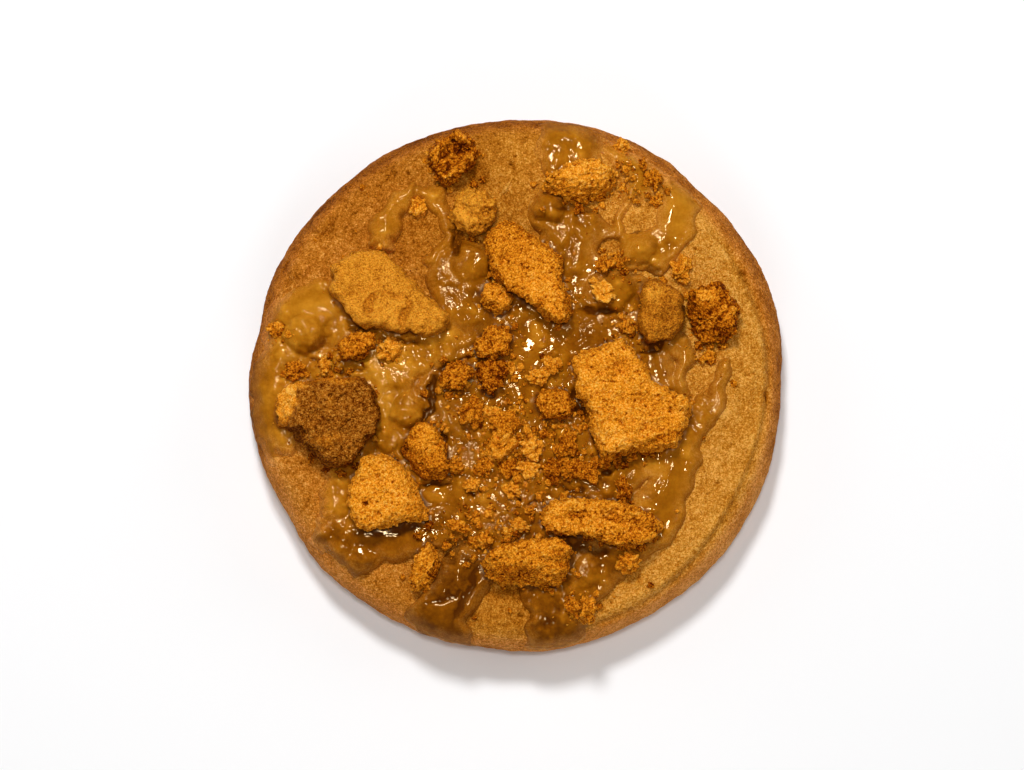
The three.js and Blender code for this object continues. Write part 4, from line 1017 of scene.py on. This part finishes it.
WARM = (1.0, 0.68, 0.26)  # tint of the gloss
MIX_FIRST, MIX_SECOND, MIX_RESULT = 6, 7, 2  # colour sockets of a mix node
MATTE_ROUGHNESS = 0.6  # what the roughness gains where the spread is matte
GLOW_SPREAD = (1.0, 0.45, 0.15)


def toned(tree, attribute, speckle):
    """A value from the mesh, with noise added. A speckle is its kind, its size and its share."""
    value = attribute_of(tree, attribute)
    for kind, size, share in speckle:
        centred = add_math(tree, "SUBTRACT", pattern_of(tree, kind, size), 0.5)
        value = add_math(tree, "ADD", value, add_math(tree, "MULTIPLY", centred, share))
    return value


def food_material(name, stops, speckle, bumps, rough, glow, specular, tint=WARM, mixed=(), uneven=False):
    """A material whose colour follows the mesh's tone. Bumps are (kind, size, distance), "rough" is the lowest and
    highest roughness and the size of its spots, and "glow" the share and depth of the light that passes under the
    surface. "mixed" adds other colours on top: the attribute that says how much, the one that gives their tone, their
    stops and their speckle. An uneven material takes the strength of its bumps and extra roughness from the mesh."""
    material = bpy.data.materials.new(name)
    material.use_nodes = True
    tree = material.node_tree
    shader = tree.nodes["Principled BSDF"]
    color = ramp_of(tree, toned(tree, "tone", speckle), stops)
    for share, tone, other_stops, other_speckle in mixed:
        mix = tree.nodes.new("ShaderNodeMix")
        mix.data_type = "RGBA"
        tree.links.new(attribute_of(tree, share), mix.inputs["Factor"])
        tree.links.new(color, mix.inputs[MIX_FIRST])
        tree.links.new(ramp_of(tree, toned(tree, tone, other_speckle), other_stops), mix.inputs[MIX_SECOND])
        color = mix.outputs[MIX_RESULT]
    tree.links.new(color, shader.inputs["Base Color"])
    normal = None
    for kind, size, distance in bumps:
        normal = bump_of(tree, pattern_of(tree, kind, size), distance, normal)
        if uneven:
            tree.links.new(attribute_of(tree, "rough"), normal.node.inputs["Strength"])
    tree.links.new(normal, shader.inputs["Normal"])
    low, high, size = rough
    spotty = add_math(tree, "MULTIPLY_ADD", pattern_of(tree, "noise", size), high - low)
    spotty.node.inputs[2].default_value = low
    if uneven:
        matte = add_math(tree, "MULTIPLY", attribute_of(tree, "matte"), MATTE_ROUGHNESS)
        spotty = add_math(tree, "ADD", spotty, matte)
    tree.links.new(spotty, shader.inputs["Roughness"])
    shader.inputs["Subsurface Weight"].default_value = glow[0]
    shader.inputs["Subsurface Radius"].default_value = GLOW_SPREAD
    shader.inputs["Subsurface Scale"].default_value = glow[1] * MM
    shader.inputs["Specular IOR Level"].default_value = specular
    shader.inputs["Specular Tint"].default_value = (*tint, 1)
    return material


DOUGH_STOPS = [(0.0, (0.14, 0.035, 0.001)), (0.25, (0.30, 0.088, 0.0025)), (0.5, (0.47, 0.165, 0.011)),
               (0.7, (0.60, 0.245, 0.022)), (1.0, (0.86, 0.430, 0.080))]
SPREAD_STOPS = [(0.0, (0.09, 0.020, 0.0005)), (0.3, (0.25, 0.073, 0.0012)), (0.6, (0.40, 0.138, 0.004)),
                (1.0, (0.62, 0.260, 0.016))]
BAKED_STOPS = [(0.0, (0.14, 0.030, 0.001)), (0.25, (0.31, 0.080, 0.0028)), (0.5, (0.49, 0.152, 0.013)),
               (0.7, (0.65, 0.222, 0.028)), (1.0, (0.92, 0.410, 0.100))]
BISCUIT_STOPS = [(0.0, (0.10, 0.014, 0.0005)), (0.2, (0.29, 0.058, 0.001)), (0.42, (0.54, 0.160, 0.005)),
                 (0.62, (0.76, 0.262, 0.011)), (0.8, (0.91, 0.355, 0.024)), (1.0, (1.0, 0.510, 0.085))]
COATED_STOPS = [(0.0, (0.16, 0.036, 0.001)), (0.3, (0.36, 0.108, 0.004)), (0.6, (0.58, 0.203, 0.010)),
                (1.0, (0.82, 0.350, 0.030))]
DARK_STOPS = [(0.0, (0.09, 0.015, 0.0005)), (0.25, (0.21, 0.052, 0.002)), (0.5, (0.33, 0.100, 0.006)),
              (0.75, (0.47, 0.170, 0.016)), (1.0, (0.68, 0.300, 0.045))]


def make_materials():
    dough_speckle = [("noise", 0.3, 1.5), ("noise", 0.7, 0.8), ("cells", 0.55, -0.25), ("noise", 2.4, 0.4)]
    # In the biscuit material the cells darken the same cell edges that its bead bumps sink: partly grain colour,
    # partly painted shade between the beads.
    biscuit_speckle = [("noise", 0.26, 1.4), ("cells", 0.45, -0.6), ("noise", 1.0, 0.35)]
    beads = [("cells", 0.45, -0.2), ("noise", 0.25, 0.2)]
    return {
        "dough": food_material(
            "dough", DOUGH_STOPS, dough_speckle, [("noise", 0.5, 0.35), ("noise", 0.25, 0.12)], (0.4, 0.7, 0.6),
            (0.12, 1.2), specular=0.05, mixed=[("baked", "tone", BAKED_STOPS, dough_speckle)]),
        "spread": food_material(
            "spread", SPREAD_STOPS, [("noise", 1.8, 0.4), ("noise", 0.6, 0.3)],
            [("noise", 1.2, 0.10), ("noise", 0.6, 0.025)], (0.03, 0.09, 0.9), (0.2, 1.2), specular=0.42,
            tint=(1, 0.76, 0.42), uneven=True,
            mixed=[("thin", "dough_tone", DOUGH_STOPS, dough_speckle),
                   ("thin_baked", "dough_tone", BAKED_STOPS, dough_speckle),
                   ("crumbs", "crumb_tone", BISCUIT_STOPS, biscuit_speckle)]),
        "biscuit": food_material(
            "biscuit", BISCUIT_STOPS, biscuit_speckle, beads, (0.5, 0.8, 0.4), (0.15, 0.9), specular=0.05),
        "coated_biscuit": food_material(
            "coated_biscuit", COATED_STOPS, [("noise", 0.3, 2.2), ("noise", 0.8, 0.5), ("noise", 1.8, 0.4)],
            [("noise", 0.45, 0.35), ("noise", 0.25, 0.12)], (0.35, 0.6, 0.6), (0.18, 1.2), specular=0.12),
        "dark_biscuit": food_material(
            "dark_biscuit", DARK_STOPS, [("noise", 0.28, 2.4), ("noise", 0.8, 1.3), ("cells", 0.5, -0.5)],
            beads, (0.5, 0.8, 0.4), (0.15, 0.9), specular=0.05,
            mixed=[("gold", "gold_tone", BISCUIT_STOPS, biscuit_speckle)]),
    }


# ---- Stage ----

PHOTO_WIDTH = 1024
PHOTO_CIRCLE_PX = (515.5, 385, 268.5)  # middle and radius of the cookie in the photograph
CAMERA_DISTANCE = 1.0
CAMERA_TILT = 2.5  # degrees from straight down, towards the lower edge of the picture
SENSOR_MM = 36
FOCUS_HEIGHT = 0.0085
WORLD_COLOR, WORLD_STRENGTH = (1, 0.85, 0.66, 1), 0.1
LIGHT_TARGET = (0, 0, 0.02)
# The lamps that the gloss mirrors: name, place, width, power. The fills aren't mirrored: direction, power.
LAMPS = (("key", (-0.08, 0.42, 0.75), 0.14, 4.8), ("lamp", (0.005, 0.065, 1.10), 0.12, 2.9))
FILLS = ((20, 1.0), (160, 0.75), (270, 1.6))
FILL_DISTANCE, FILL_HEIGHT, FILL_SIZE = 0.75, 0.5, 0.5
FLOOR_HALF = 1.5
FLOOR_STOPS = [(0.3, (0.92, 0.93, 0.95)), (0.7, (0.94, 0.95, 0.97))]


def build_camera():
    data = bpy.data.cameras.new("camera")
    camera = add_object("camera", data)
    per_pixel = COOKIE_RADIUS * MM / PHOTO_CIRCLE_PX[2]
    data.sensor_width = SENSOR_MM
    data.lens = SENSOR_MM * CAMERA_DISTANCE / (per_pixel * PHOTO_WIDTH)
    tilt = math.radians(CAMERA_TILT)
    aside = -(PHOTO_CIRCLE_PX[0] - PHOTO_WIDTH / 2) * per_pixel
    camera.location = (aside, -CAMERA_DISTANCE * math.sin(tilt), FOCUS_HEIGHT + CAMERA_DISTANCE * math.cos(tilt))
    camera.rotation_euler = (tilt, 0, 0)
    data.clip_start, data.clip_end = 0.01, 10
    bpy.context.scene.camera = camera


def add_area(name, place, size, energy):
    data = bpy.data.lights.new(name, "AREA")
    data.shape = "DISK"
    data.size = size
    data.energy = energy
    made = add_object(name, data)
    made.location = place
    direction = np.array(LIGHT_TARGET) - np.array(place)
    flat = math.hypot(direction[0], direction[1])
    made.rotation_euler = (math.atan2(flat, -direction[2]), 0, math.atan2(-direction[0], direction[1]))
    return made


def build_stage():
    scene = bpy.context.scene
    scene.view_settings.view_transform = "Standard"
    world = bpy.data.worlds.new("world")
    scene.world = world
    world.use_nodes = True
    background = world.node_tree.nodes["Background"]
    background.inputs["Color"].default_value = WORLD_COLOR
    background.inputs["Strength"].default_value = WORLD_STRENGTH
    for lamp in LAMPS:
        add_area(*lamp)
    for turn, energy in FILLS:
        angle = math.radians(turn)
        place = (FILL_DISTANCE * math.cos(angle), FILL_DISTANCE * math.sin(angle), FILL_HEIGHT)
        add_area(f"fill_{turn}", place, FILL_SIZE, energy).visible_glossy = False
    mesh = bpy.data.meshes.new("floor")
    half = FLOOR_HALF
    mesh.from_pydata([(-half, -half, 0), (half, -half, 0), (half, half, 0), (-half, half, 0)], [], [(0, 1, 2, 3)])
    floor = add_object("floor", mesh)
    material = bpy.data.materials.new("floor")
    material.use_nodes = True
    tree = material.node_tree
    shader = tree.nodes["Principled BSDF"]
    coordinates = tree.nodes.new("ShaderNodeTexCoord")
    noise = add_node(tree, "ShaderNodeTexNoise", Scale=3.0)
    tree.links.new(coordinates.outputs["Object"], noise.inputs["Vector"])
    tree.links.new(ramp_of(tree, noise.outputs["Fac"], FLOOR_STOPS), shader.inputs["Base Color"])
    shader.inputs["Roughness"].default_value = 0.9
    mesh.materials.append(material)
    floor.visible_glossy = False
    floor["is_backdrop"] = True


# ---- Everything ----


OUTLINE_STEPS = 28


def piece_outline(node):
    """A piece's outline from above, in millimetres: its farthest point in each direction."""
    points = points_of(node.data)[:, :2] / MM
    middle = points.mean(0)
    angles = np.arctan2(points[:, 1] - middle[1], points[:, 0] - middle[0])
    reach = np.hypot(*(points - middle).T)
    sector = ((angles + np.pi) / (2 * np.pi) * OUTLINE_STEPS).astype(int) % OUTLINE_STEPS
    outline = []
    for step in range(OUTLINE_STEPS):
        inside = np.flatnonzero(sector == step)
        if len(inside):
            outline.append(points[inside[np.argmax(reach[inside])]])
    return np.array(outline)


def build():
    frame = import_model()
    cad_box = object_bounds()
    build_stage()
    build_camera()
    materials = make_materials()
    pieces = {name: node for name, node in frame["nodes"].items() if name != "cookie"}
    outlines = [piece_outline(node) for node in pieces.values()]
    dress(build_dough(), "dough", materials["dough"], "cookie")
    dress(build_spread(outlines), "spread", materials["spread"], "cookie")
    for seed, (name, node) in enumerate(sorted(pieces.items())):
        kind = "coated_biscuit" if "coated" in name else "dark_biscuit" if name in DARK_PIECES else "biscuit"
        dress(build_piece(name, node, seed), kind, materials[kind], name)
    rng = np.random.default_rng(5)
    for kind, crumbs, lift, tones, subdivisions, seed in LARGE_CRUMBS:
        places = [(x, y, on_surface(x, y)[0] + lift * radius, radius) for x, y, radius in crumbs]
        heap = crumb_heap(kind, places, subdivisions, seed, rng.uniform(*tones, len(places)))
        dress(heap, "biscuit", materials["biscuit"])
    for kind, count, subdivisions, smallest, largest, seed in FINE_CRUMBS:
        fine = fine_places(outlines, rng, count, smallest, largest)
        heap = crumb_heap(kind, fine, subdivisions, seed, rng.uniform(0.35, 0.75, len(fine)))
        dress(heap, "biscuit", materials["biscuit"])
    bpy.context.view_layer.update()
    return cad_box


cad_box = build()
